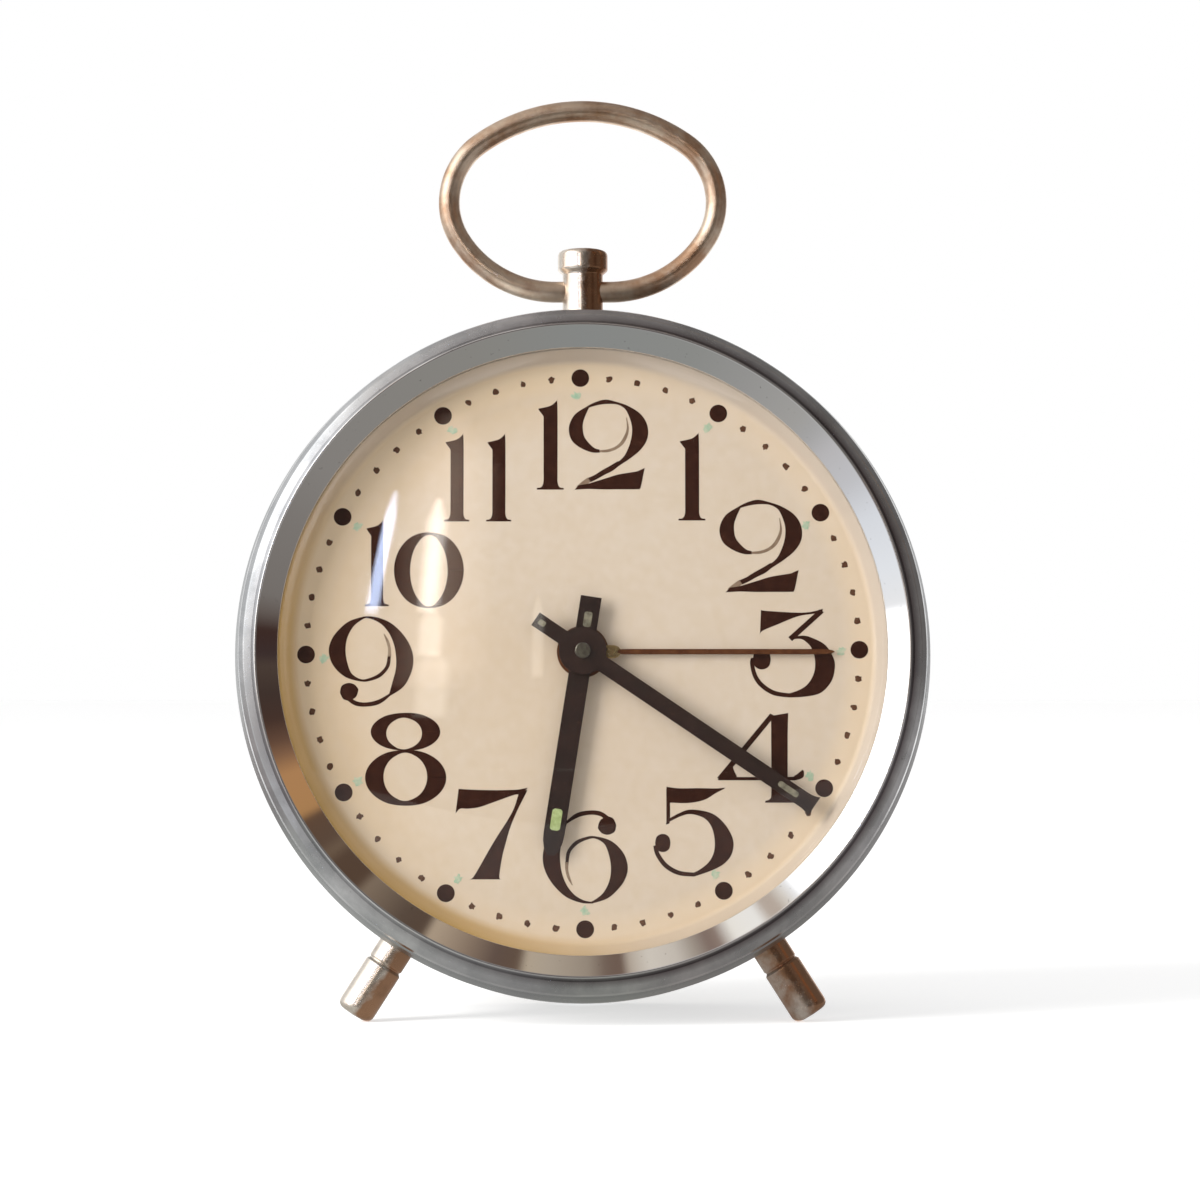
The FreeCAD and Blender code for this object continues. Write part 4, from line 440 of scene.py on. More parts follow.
drum_nickel = plated("drum_nickel", colour(190, 192, 193), colour(180, 182, 183), 0.27, 0.33, 16.0, 0.0002,
                     0.2, 0.0)
flange_front = -2.1
drum_outline = rounded([
    (44.4, flange_front), (47.7, flange_front, 0.15), (47.7, 0.2), (48.6, 0.2, 0.2), (49.5, 0.9, 0.6),
    (50.0, 2.2, 0.7), (50.0, 37.2, 0.1),
    (49.2, 37.2, 0.1), (49.2, 1.0, 0.3), (46.9, 1.0), (46.9, flange_front + 0.8), (44.4, flange_front + 0.8)])
piece("drum", turned(drum_outline, sides=256), "case", drum_nickel, stands_for=["case_body"])


# Bezel: a ring rolled from thin brass strip and chrome plated, sprung on to the drum's neck. Its
# mirror-bright inner slope faces the crystal, and its outer bead is worn dull from handling. The groove
# beside its ridge carries a painted shade, a dark line strongest on the right.
def marked(material, name):
    """The value that a piece's points carry by this name, from mark."""
    return add(material, "ShaderNodeAttribute", attribute_name=name).outputs["Fac"]


chrome = finish_of("bezel_chrome")
bezel_dull = reckoned(chrome, "MULTIPLY", marked(chrome, "wear"),
                      mottled(chrome, (6.0, 6, 2.0), 0.3, 0.65, 0.35, 1))
bezel_tone = mixed(chrome, bezel_dull, colour(230, 230, 231), colour(180, 182, 184))
bezel_specks = mottled(chrome, (0.7, 2, 9.0), 0.70, 0.76, 0.0, 0.35)
bezel_tone = mixed(chrome, bezel_specks, bezel_tone, colour(96, 92, 88))
# painted shade: the groove beside the ridge darkened to a dark purple brown, most on the right side
bezel_tone = mixed(chrome, marked(chrome, "painted_groove_shade"), bezel_tone, colour(76, 52, 58))
coated(chrome, bezel_tone, between(chrome, bezel_dull, 0, 1, 0.06, 0.30),
       raised(chrome, patches(chrome, 0.35, 3, 5.0), 0.0003), metallic=1.0)
bezel_outline = rounded([
    (43.4, -4.05, 0.05), (43.4, -4.75, 0.12), (46.6, -6.77, 0.28), (47.15, -5.35, 0.06), (48.3, -4.95, 0.5),
    (48.95, -4.15, 0.6), (49.2, -3.0, 0.4), (49.2, 0.5, 0.05), (48.85, 0.15), (47.75, 0.15), (47.75, -4.45),
    (46.7, -5.45), (44.1, -4.05)])
bezel = piece("bezel_ring", turned(bezel_outline, sides=320), "case", chrome,
              stands_for=["bezel"])


def mark(thing, name, value_of):
    """Gives each point of a piece a value, worked out from its place in the clock's millimetres: how far it
    is to the right, how far up, and how far out from the dial's axis."""
    mesh = thing.data
    at = np.empty(3 * len(mesh.vertices), dtype=np.float32)
    mesh.vertices.foreach_get("co", at)
    away = (at.reshape(-1, 3) - dial_centre) * 1000.0
    right, up = away @ sideways, away @ upwards
    values = value_of(right, up, np.hypot(right, up)).astype(np.float32)
    mesh.attributes.new(name, "FLOAT", "POINT").data.foreach_set("value", values)


mark(bezel, "wear", lambda x, z, out: np.clip((out - 46.55) / 0.35, 0, 1))
# painted shade in the groove beside the ridge, weaker towards the left
mark(bezel, "painted_groove_shade", lambda x, z, out: np.interp(out, [46.6, 46.8, 47.2, 47.35], [0, 0.75, 0.75, 0])
     * np.interp((x - 0.1 * z) / out, [-0.5, 0.3], [0.25, 1.0]))


# Crystal: a shallow dome blown from clear glass and held by the bezel's lip against the dial's rim. It is
# polished, and a thin uneven surface wavers in its reflections.
glass = finish_of("crystal_glass")
coated(glass, (0.985, 0.99, 0.985, 1), mottled(glass, (8, 3, 4.0), 0.4, 0.7, 0.015, 0.045),
       raised(glass, patches(glass, 14, 1, 1.0), 0.006), **{"IOR": 1.49, "Transmission Weight": 1.0})


def dome(edge_radius, edge, rise, steps=44):
    """A ball's cap as an outline: the arc through the edge that rises towards the eye at the middle, on a
    ball of radius (edge_radius^2 + rise^2) / (2 rise)."""
    ball = (edge_radius ** 2 + rise ** 2) / (2 * rise)
    radius = np.linspace(0, edge_radius, steps)
    return np.stack([radius, edge - rise + ball - np.sqrt(ball ** 2 - radius ** 2)], -1)


crystal_outline = np.concatenate([
    dome(43.2, -4.05, 4.6), [(46.5, -4.05), (46.8, -3.8), (46.8, -2.6)], dome(42.84, -2.6, 4.55)[::-1]])
crystal = piece("crystal_dome", turned(crystal_outline, sides=192, closed=False), "case",
                glass, crease=8, stands_for=["crystal"])
crystal.visible_shadow = crystal.visible_diffuse = False


# Dial: an aluminium disc with a turned-up rim, painted cream and gone yellow over the years at its rim.
# Painted shade makes the rim darker and yellower at the lower left and greyer all round, and a painted
# highlight brightens its inner edge at the upper left. Its numerals, dots and hairlines are printed in dark
# brown and grey inks.
cream = finish_of("dial_cream")
cream_patches = mottled(cream, (30, 4, 3.0), 0.35, 0.65)
dial_tone = mixed(cream, cream_patches, colour(231, 214, 195), colour(228, 209, 188))
dial_tone = mixed(cream, mottled(cream, (1.6, 4, 6.0), 0.3, 0.7, 0, 0.35), dial_tone, colour(216, 193, 160))
# painted shade: the rim is toned greyer and darker all round
dial_tone = mixed(cream, marked(cream, "rim"), dial_tone, colour(203, 190, 177))
# painted highlight: a lighter band near the rim, brightest at the upper left
dial_tone = mixed(cream, marked(cream, "glow"), dial_tone, colour(252, 226, 190))
# yellowing mixed with painted shade: the rim darker and yellower towards the lower left, and a yellow tint
# inside it on the left
dial_tone = mixed(cream, marked(cream, "age_and_shade"), dial_tone, colour(214, 174, 106))
coated(cream, dial_tone, mottled(cream, (3, 4, 8.0), 0.3, 0.7, 0.42, 0.58),
       raised(cream, patches(cream, 0.5, 4, 2.0), 0.004))
dial_outline = rounded([(3.3, 0), (41.7, 0, 1.1), (43.4, -2.6, 0.15), (46.8, -2.6), (46.8, -2.1),
                        (43.75, -2.1), (42.05, 0.5, 0.2), (3.3, 0.5)])
# extra points across the flat face, after the first corner's nine, let its marks change smoothly
dial_outline = np.concatenate([dial_outline[:9], np.stack([np.linspace(5, 40.55, 41), np.zeros(41)], -1),
                               dial_outline[9:]])
dial = piece("dial_face", turned(dial_outline, sides=224), "case", cream, stands_for=["dial"])
# the rim is yellowed with years and by painted shade, most at the lower left, with a painted yellow shade in
# a band just inside it on the left; a painted highlight brightens its inner corner at the upper left and the
# lower right, and a painted grey shade lies over the whole rim
mark(dial, "age_and_shade", lambda x, z, out: np.interp(out, [40.6, 41.7, 43.4], [0.1, 0.85, 1])
     * np.interp((x + 0.6 * z) / out, [-0.95, -0.35, 0.8], [1.0, 0.25, 0.05])
     + np.interp(out, [31, 36, 38.5, 40], [0, 0.22, 0.15, 0])
     * np.interp((0.35 * z - x) / out, [0.1, 0.6], [0, 1]))
# painted highlight near the rim, strongest at the upper left and weaker at the lower right
mark(dial, "glow", lambda x, z, out: np.interp(out, [37, 39.5, 41.3, 42], [0, 0.8, 0.8, 0])
     * np.interp((0.5 * z - x) / out, [-1.1, 0.1, 0.7], [0.6, 0.15, 1]))
# painted shade on the rim, all round
mark(dial, "rim", lambda x, z, out: np.interp(out, [41.0, 42.2], [0, 1]))


def ink(name, shade, thin, edge):
    """Printing ink: matt, a little thinner in places."""
    film = finish_of(name)
    tone = mixed(film, mottled(film, (1.2, 4, 1.0), 0.4, 0.75, 0, edge), shade, thin)
    rough = mottled(film, (0.6, 3, 2.0), 0.3, 0.7, 0.5, 0.7)
    coated(film, tone, rough, **{"Specular IOR Level": 0.12})
    return film


brown_ink = ink("brown_ink", colour(46, 16, 4), colour(70, 36, 22), 0.6)
faint_ink = ink("faint_ink", colour(88, 56, 40), colour(120, 88, 66), 0.8)
grey_ink = ink("grey_ink", colour(138, 114, 94), colour(168, 146, 124), 0.9)


def stroke(stations, front, samples=5):
    """One printed stroke: smooth curves through the outer and inner edge points of its stations, a doubled
    station making a corner. Between points b and c, with a before and d after, the curve is the cubic in t
    that leaves b along c - a and comes to c along d - b, both halved. Straight lines join the two edges, and
    a thin film's thickness lies behind. The ink has spread: a full stroke is 0.4 mm wider than its stations,
    and a hairline hardly at all."""
    rows = np.array(stations, dtype=float)
    apart = rows[:, :2] - rows[:, 2:]
    wide = np.linalg.norm(apart, axis=1, keepdims=True)
    spread = apart / np.maximum(wide, 1e-6) * np.clip(0.28 * (wide - 0.35), 0, 0.2)
    rows += np.concatenate([spread, -spread], axis=1)
    p = np.concatenate([rows[:1], rows, rows[-1:]])
    t = np.linspace(0, 1, samples, endpoint=False)[None, :, None]
    a, b, c, d = (p[k:len(p) - 3 + k, None, :] for k in range(4))
    curve = 0.5 * (2 * b + (c - a) * t + (2 * a - 5 * b + 4 * c - d) * t ** 2
                   + (3 * b - a - 3 * c + d) * t ** 3)
    edges = np.concatenate([curve.reshape(-1, 4), rows[-1:]])
    loop = np.stack([edges[:, [0, 1]], edges[:, [2, 3]], edges[:, [2, 3]], edges[:, [0, 1]]], 1)
    depth = np.broadcast_to(np.array([front, front, 0.004, 0.004]), loop.shape[:2])
    points = np.stack([loop[..., 0], depth, loop[..., 1]], -1).reshape(-1, 3)
    n = len(edges)
    caps = np.array([[0, 1, 2, 3], [4 * n - 4, 4 * n - 3, 4 * n - 2, 4 * n - 1]])
    return points, np.concatenate([quads(n, 4, False, True), caps])


def ball(x, z, radius):
    """Stations of a ball terminal: the upper and the lower half of a circle."""
    turn = np.linspace(0, math.pi, 7)
    across, rise = x - radius * np.cos(turn), radius * np.sin(turn)
    return np.stack([across, z + rise, across, z - rise], -1)


def loop_stroke(outer, inner):
    """Stations round an oval ring: each oval is (middle x, middle z, half width, half height)."""
    turn = np.linspace(0, 2 * math.pi, 41)
    c, s = np.cos(turn), np.sin(turn)
    return np.stack([outer[0] + outer[2] * c, outer[1] + outer[3] * s, inner[0] + inner[2] * c,
                     inner[1] + inner[3] * s], -1)


# each digit as drawn: its width and height, its strokes in dark ink, and its strokes in grey
digit_strokes = {
    "0": (9.42, 10.84, [loop_stroke((4.71, 5.42, 4.71, 5.42), (4.71, 5.37, 2.84, 5.11))], []),
    "1": (3.44, 12.62, [
        [(0, 0, 3.44, 0), (0.02, 0.23, 3.41, 0.23), (0.59, 0.34, 2.87, 0.34), (0.92, 1.01, 2.57, 1.01),
         (0.95, 2.55, 2.55, 2.55), (0.95, 10.48, 2.55, 10.48), (0.95, 10.84, 2.55, 12.44)],
        [(1.01, 10.31, 2.7, 12.62), (0.53, 10.96, 1.66, 11.76), (0.02, 11.29, 0, 11.43)]], []),
    "2": (11.02, 12.99, [
        [(2.49, 12.14, 2.72, 11.96), (0.83, 10.84, 1.9, 10.6), (0, 9.06, 1.6, 9.3), (0.36, 7.29, 1.78, 7.76),
         (1.54, 6.22, 2.49, 6.69), (3.08, 5.48, 3.44, 5.98), (4.26, 5.39, 4.21, 5.8)],
        [(2.49, 12.17, 2.72, 11.93), (3.67, 12.71, 3.81, 12.28), (5.09, 13.04, 5.09, 12.5),
         (6.63, 12.76, 6.63, 12.4), (8.25, 12.15, 7.82, 11.85), (9.75, 11.1, 8.59, 10.84),
         (10.7, 9.8, 9.03, 9.42), (11.0, 8.4, 9.07, 8.23), (10.75, 7.05, 8.88, 7.05),
         (9.85, 5.75, 8.47, 5.86), (8.55, 4.6, 7.82, 4.8), (7.3, 3.7, 6.87, 3.97), (6.16, 2.96, 5.86, 3.32)],
        [(7.46, 3.97, 6.87, 4.11), (6.16, 2.88, 5.86, 3.44), (4.86, 2.19, 4.5, 2.68), (3.85, 1.6, 3.55, 2.08),
         (2.9, 1.14, 2.6, 1.64)],
        [(0.69, 0.06, 1.13, 0.56), (1.78, 0.12, 1.9, 0.68), (2.72, 0.18, 2.72, 0.82),
         (4.86, 0.23, 4.86, 1.36), (6.75, 0.24, 6.75, 1.95), (8.41, 0.24, 8.41, 2.25),
         (9.59, 0.26, 9.59, 2.45), (10.09, 0.47, 10.19, 2.72), (10.54, 2.43, 10.68, 3.04)]],
        [[(4.26, 5.42, 4.26, 5.74), (5.45, 5.45, 5.39, 5.84), (6.81, 5.98, 6.56, 6.3),
          (7.84, 6.98, 7.45, 7.2), (8.42, 8.65, 8.1, 8.77), (8.15, 10.48, 8.03, 10.48)],
         [(2.9, 1.2, 2.6, 1.72), (2.13, 0.62, 1.75, 1.1), (1.3, 0.06, 0.95, 0.46)]]),
    "3": (11.95, 12.78, [
        [(1.55, 12.56, 1.41, 9.23), (1.84, 12.38, 1.78, 9.84), (3.8, 12.23, 4, 10.8),
         (6.74, 12.23, 6.74, 11.74), (8.7, 12.37, 8.7, 12.05), (10.46, 12.78, 10.37, 12.27)],
        [(5.76, 8.64, 5.86, 8.35), (7.52, 8.9, 7.23, 8.5), (8.9, 8.5, 8.15, 8.09), (10.66, 7.47, 8.99, 7.17),
         (11.8, 5.6, 9.48, 5.6), (11.93, 4.04, 9.45, 3.94), (11.41, 2.27, 8.94, 2.57),
         (9.92, 0.71, 8.07, 1.49), (7.72, 0.2, 6.84, 0.8), (5.57, 0, 5.57, 0.51)],
        [(5.57, 0, 5.57, 0.51), (3.31, 0.35, 3.51, 0.86), (1.49, 1.49, 1.88, 1.88), (0.45, 2.94, 0.92, 3.19),
         (0, 4.78, 0.49, 4.86), (0.12, 5.7, 0.61, 5.7)],
        [(10.56, 12.37, 10.03, 12.7), (5.96, 8.19, 5.53, 8.64)], ball(1.65, 5.5, 1.28)], []),
    "4": (12.31, 12.82, [
        [(7.86, 12.46, 9.92, 12.82), (7.86, 9.52, 9.82, 9.52), (7.86, 1.69, 9.82, 1.69),
         (7.62, 0.51, 10.11, 0.51), (7.05, 0.27, 11.44, 0.27), (6.98, 0, 11.48, 0)],
        [(8.15, 12.46, 7.6, 12.74), (0.55, 3.21, 0, 3.53)],
        [(1.84, 5.8, 2, 5.8), (1.29, 4.86, 2.19, 4.62), (0.61, 3.94, 2.47, 3.64), (0.12, 3.25, 0.9, 3.23)],
        [(0.12, 3.66, 0.12, 3.23), (9.82, 3.66, 9.82, 3.23), (10.99, 3.82, 11.09, 3.27),
         (11.72, 4.27, 12.15, 3.72), (12.07, 4.7, 12.31, 4.55)]], []),
    "5": (11.26, 12.72, [
        [(1.88, 12.65, 1.88, 10.51), (2.51, 12.54, 2.37, 10.75), (3.97, 12.43, 4.88, 10.68),
         (6.71, 12.45, 7.25, 11.15), (9.07, 12.54, 8.98, 11.99), (10.35, 12.72, 10.17, 12.54)],
        [(1.88, 12.61, 2.33, 12.61), (1.88, 7.87, 2.33, 7.96), (1.75, 7.58, 1.97, 7.69)],
        [(2.15, 8.2, 2.37, 7.87), (3.79, 9.06, 3.97, 8.66), (5.43, 9.51, 5.43, 8.97),
         (8.16, 8.97, 7.43, 8.42), (9.99, 7.51, 8.53, 7.14), (11.22, 5.32, 8.98, 5.32),
         (11.08, 3.32, 8.89, 3.5), (9.99, 1.86, 8.16, 2.04), (8.16, 0.86, 6.89, 0.98), (5.79, 0, 5.79, 0.49)],
        [(5.79, 0, 5.79, 0.49), (3.52, 0.24, 3.74, 0.73), (1.6, 1.31, 1.97, 1.71), (0.36, 3.01, 0.84, 3.23),
         (0, 4.37, 0.47, 4.45)], ball(1.33, 4.77, 1.1)], []),
    "6": (11.86, 13.12, [
        [(3.01, 11.52, 3.3, 11.33), (1.37, 10.15, 2.64, 9.69), (0.27, 8.05, 2.15, 7.69),
         (0.02, 6.05, 2.13, 5.87), (0.56, 4.14, 2.46, 4.05), (1.77, 2.37, 3.19, 2.41),
         (3.41, 0.93, 4.32, 1.13), (5.38, 0.13, 5.74, 0.44), (7.02, 0.02, 6.83, 0.26)],
        [(3.01, 11.48, 3.3, 11.3), (4.68, 12.72, 4.9, 12.24), (6.61, 13.12, 6.65, 12.61),
         (8.22, 12.94, 8.04, 12.43), (9.42, 12.14, 9.02, 11.77)],
        [(7.74, 10.75, 7.78, 10.57), (8.11, 11.55, 8.29, 10.15), (9.02, 12.06, 9.2, 9.93),
         (9.93, 11.88, 10.11, 10.33), (10.4, 11.15, 10.39, 10.97)],
        [(3.1, 5.87, 3.52, 5.87), (3.35, 7.4, 3.79, 7.29), (4.5, 8.76, 4.83, 8.42), (6.03, 9.4, 6.18, 9.04),
         (7.38, 9.51, 7.38, 9.18), (9.57, 8.78, 8.84, 8.42), (11.21, 7.14, 9.57, 6.78),
         (11.86, 5.14, 9.84, 4.96), (11.42, 3.32, 9.57, 3.13), (10.3, 1.82, 8.66, 1.49),
         (8.84, 0.67, 7.38, 0.49), (6.83, 0, 6.65, 0.26)]],
        [[(3.06, 5.87, 3.52, 5.87), (3.08, 4.74, 3.48, 4.77), (3.39, 3.59, 3.74, 3.74),
          (4.03, 2.55, 4.14, 2.62)]]),
    "7": (10.46, 12.98, [
        [(0.39, 12.76, 0, 9.64), (0.59, 12.74, 0.64, 10.31), (1.74, 12.66, 1.74, 10.31),
         (3.25, 12.6, 3.35, 10.51), (5.75, 12.56, 5.35, 11.14), (7.75, 12.66, 7.55, 11.86),
         (9.16, 12.78, 8.86, 12.21), (10.46, 12.98, 9.76, 12.21)],
        [(9.41, 12.36, 10.38, 12.76), (8.71, 10.34, 9.46, 10.86), (7.75, 8.56, 8.76, 9.46),
         (6.25, 6.25, 7.85, 7.35), (4.95, 4.05, 7.1, 4.95), (3.75, 1.94, 6.6, 2.95), (2.8, 0.34, 6.2, 0.39),
         (2.29, 0, 6.57, 0)]], []),
    "8": (11.09, 13.1, [
        loop_stroke((5.5, 10.42, 4.73, 2.68), (5.31, 10.23, 2.73, 2.3)),
        loop_stroke((5.55, 3.87, 5.55, 3.95), (5.5, 3.97, 3.3, 3.49))], []),
}
# a 9 is the 6 turned half round
wide, high = digit_strokes["6"][:2]
digit_strokes["9"] = (wide, high, *(
    [[(wide - x, high - z, wide - u, high - v) for x, z, u, v in line] for line in lines]
    for lines in digit_strokes["6"][2:]))

# each numeral's digit, the lower left corner of its box, and the box's width and height
numerals = [
    ("1", -6.36, 23.38, 3.43, 12.91), ("2", -1.79, 23.38, 11.0, 12.91), ("1", 13.93, 18.93, 3.43, 12.62),
    ("2", 19.79, 8.61, 11.43, 13.2), ("3", 23.93, -6.45, 11.86, 12.62), ("4", 19.21, -21.51, 12.29, 12.77),
    ("5", 10.07, -31.98, 11.14, 12.62), ("6", -5.5, -35.86, 11.71, 13.2), ("7", -18.07, -32.42, 10.14, 12.91),
    ("8", -30.79, -21.8, 11.14, 13.05), ("9", -36.07, -7.75, 11.71, 12.91), ("1", -30.93, 6.6, 3.0, 12.34),
    ("0", -26.79, 6.31, 9.57, 10.9), ("1", -19.64, 18.79, 3.2, 12.62), ("1", -13.64, 18.79, 3.2, 12.62)]


def printed(which):
    """All numerals' strokes of one ink (2 dark, 3 grey), each digit's own drawing stretched to its box on the
    dial."""
    shapes = []
    for digit, left, low, width, height in numerals:
        drawn_width, drawn_height = digit_strokes[digit][:2]
        for order, stations in enumerate(digit_strokes[digit][which]):
            points, faces = stroke(stations, -0.012 - 0.003 * order - (0.004 if which == 2 else 0.0))
            points[:, 0] = left + points[:, 0] * width / drawn_width
            points[:, 2] = low + points[:, 2] * height / drawn_height
            shapes.append((in_clock(points), faces))
    return joined(shapes)


piece("numerals", printed(2), "case", brown_ink)
piece("numeral_hairlines", printed(3), "case", grey_ink)


def spots(turn, distance, radius, sides, front, ragged=0.0):
    """Flat round spots on the dial at clockwise angles and distances: a ring of points round each middle,
    each spot a low cone to its own middle point, and uneven in outline by the ragged share."""
    turn, distance = np.radians(np.asarray(turn, float)), np.broadcast_to(distance, len(turn))
    chance = np.random.default_rng(7)
    rim = radius * (1 + ragged * chance.uniform(-1, 1, (len(turn), sides)))
    way = np.linspace(0, 2 * math.pi, sides, endpoint=False)[None, :]
    x = (distance * np.sin(turn))[:, None] + rim * np.cos(way)
    z = (distance * np.cos(turn))[:, None] + rim * np.sin(way)
    ring = np.stack([x, np.full_like(x, front), z], -1)
    back = ring + np.array([0, 0.004 - front, 0])
    middle = np.repeat(ring.mean(1)[:, None] + np.array([0, front, 0]), sides, 1)
    points = np.stack([middle, ring, back], 2).reshape(-1, 3)
    faces = quads(sides, 3, True, False)
    starts = (np.arange(len(turn)) * sides * 3)[:, None, None]
    return in_clock(points), (faces[None] + starts).reshape(-1, 4)


dial_slip = -0.5
hours = np.arange(12) * 30 + dial_slip
minutes = np.array([6 * m for m in range(60) if m % 5]) + dial_slip
piece("hour_dots", spots(hours, 39.5, 1.27, 28, -0.012), "case", brown_ink)
piece("minute_dots", spots(minutes, 39.5, 0.46, 12, -0.012, 0.28), "case", faint_ink)


def lume(name, first, second, patch, seed, rough=0.85):
    """Luminous paint: a chalky filling, grown blotchy."""
    filling = finish_of(name)
    tone = mixed(filling, mottled(filling, (patch, 4, seed), 0.35, 0.65), first, second)
    coated(filling, tone, rough, raised(filling, patches(filling, 0.25, 3, seed + 1), 0.03))
    return filling


green_lume = lume("green_lume", colour(160, 194, 164), colour(208, 210, 184), 0.7, 1.0, 0.8)
piece("lume_dabs", spots(hours + np.random.default_rng(3).uniform(-1.2, 1.2, 12), 36.9, 0.6, 16, -0.03, 0.45),
      "case", green_lume)


# Handle: a loop of bent wire whose two ends sit in a cross hole of the turned stud, which is held by a nut
# inside the drum. Their thin nickel has worn through to warm copper wherever fingers go. The stud is painted
# pale on its left and copper brown on its right as painted shade, and the loop's copper is lightened as
# painted light.
def darker(tone, share):
    """A colour with only a share of its light."""
    return (*(share * c for c in tone[:3]), 1.0)


def worn(name, plate_tone, copper_tone, seed, stained=0.35, gloss=(0.20, 0.30)):
    """Old nickel on copper: warm plate, copper brown where it is worn through in patches, with soft stains
    and a fine grain. The mark called bared_and_shaded adds more copper and paints shade: pale plate on a
    piece's lit side, copper brown on its shaded side."""
    metal = finish_of(name)
    rubbed_and_shaded = reckoned(metal, "ADD", patches(metal, 5.0, 4, seed), marked(metal, "bared_and_shaded"))
    tone = mixed(metal, between(metal, rubbed_and_shaded, 0.40, 0.62), plate_tone, copper_tone)
    stain = mottled(metal, (2.4, 3, seed + 4), 0.52, 0.78, 0, stained)
    tone = mixed(metal, stain, tone, darker(copper_tone, 0.4))
    coated(metal, tone, mottled(metal, (1.4, 5, seed + 1), 0.3, 0.7, *gloss),
           raised(metal, patches(metal, 0.9, 2, seed + 2), 0.0008), metallic=1.0)
    return metal


# the loop's copper is lighter than the stud's: painted light for the brighter reflection along its top
loop_metal_painted_light = worn("loop_metal_painted_light", colour(236, 216, 194), colour(202, 164, 134), 1.0, 0.2, (0.28, 0.38))
stud_metal = worn("stud_metal", colour(240, 230, 218), colour(165, 124, 94), 5.0)
stud_back = 14.0
stud_outline = rounded([(0, 46.4), (1.5, 46.4, 0.1), (1.5, 49.9), (3.0, 49.9, 0.1), (2.95, 57.2, 0.35),
                        (3.68, 57.8, 0.5), (3.68, 60.7, 0.9), (0, 60.9)])
stud = piece("handle_stud_turned", turned(stud_outline, (0, stud_back, 0), (0, 0, 1), 72), "case",
             stud_metal, stands_for=["handle_stud"])
# painted shade: the stud pale on its left and copper brown on its right
mark(stud, "bared_and_shaded", lambda x, z, out: np.interp(x, [-0.8, 1.2], [-0.3, 0.25]))


def tube(path, radius, sides=28):
    """Round wire along a path that lies in an upright plane: at each point a circle across the path, shrunk
    to a point at both ends."""
    run = np.gradient(path, axis=0)
    run /= np.linalg.norm(run, axis=1)[:, None]
    back = np.array([0.0, 1.0, 0.0])
    flat = np.cross(run, back)
    path = np.concatenate([path[:1], path, path[-1:]])
    flat = np.concatenate([flat[:1], flat, flat[-1:]])
    thick = np.full(len(path), radius)
    thick[[0, -1]] = 0
    way = np.linspace(0, 2 * math.pi, sides, endpoint=False)[None, :, None]
    points = path[:, None] + thick[:, None, None] * (np.cos(way) * flat[:, None] + np.sin(way) * back)
    return in_clock(points.reshape(-1, 3)), quads(len(path), sides, False, True)


def arc(x, z, radius, start, end, steps):
    """Points of a circle's arc in the loop's plane, between two angles from the right-hand side."""
    turn = np.radians(np.linspace(start, end, steps, endpoint=False))
    return np.stack([x + radius * np.cos(turn), z + radius * np.sin(turn)], -1)


right_half = np.concatenate([
    np.stack([np.linspace(0.2, 4.0, 6, endpoint=False), np.full(6, 54.65)], -1),
    arc(4.0, 71.35, 16.70, -90, -32.15, 26), arc(9.25, 68.05, 10.5, -32.15, 55.18, 40),
    arc(0, 54.75, 26.70, 55.18, 90, 30), [(0.0, 81.45)]])
right_half[:, 1] += 0.3 * np.clip((right_half[:, 1] - 68) / 13.45, 0, 1)
left_half = right_half[-2::-1] * (-1, 1)
loop_path = np.concatenate([right_half, left_half])
loop_path = np.stack([loop_path[:, 0], np.full(len(loop_path), stud_back), loop_path[:, 1]], -1)
piece("handle_loop", tube(loop_path, 1.55), "handle", loop_metal_painted_light, stands_for=["handle_ring"])


# Feet: two turned posts screwed into the drum from below and held by nuts inside it, of the same worn nickel
# on copper as the stud, and like it painted pale on the left and copper brown on the right as painted shade.
# The clock leans back on the drum's rear edge behind them.
foot_metal = worn("foot_metal", colour(240, 230, 218), colour(184, 142, 112), 9.0)
foot_outline = rounded([
    (0, 46.4), (1.5, 46.4, 0.1), (1.5, 49.9), (2.62, 49.9, 0.1), (2.62, 52.6, 0.2), (2.45, 52.8, 0.1),
    (2.45, 52.95, 0.1), (2.78, 53.3, 0.4), (2.78, 61.2, 1.3), (0, 61.35)])
spread = math.radians(32.6)
for side, name, bare_and_shade_to in ((-1, "left", [-0.3, 0.2]), (1, "right", [0.0, 0.25])):
    down = (side * math.sin(spread), 0, -math.cos(spread))
    foot = piece(f"foot_{name}_turned", turned(foot_outline, (0, 6.5, 0), down, 72), "case",
                 foot_metal, stands_for=[f"foot_{name}"])
    # painted shade: each foot pale on its left and copper brown on its right
    mark(foot, "bared_and_shaded", lambda x, z, out: np.interp(x * math.cos(spread) + side * z * math.sin(spread),
                                                    [-0.8, 1.6], bare_and_shade_to))


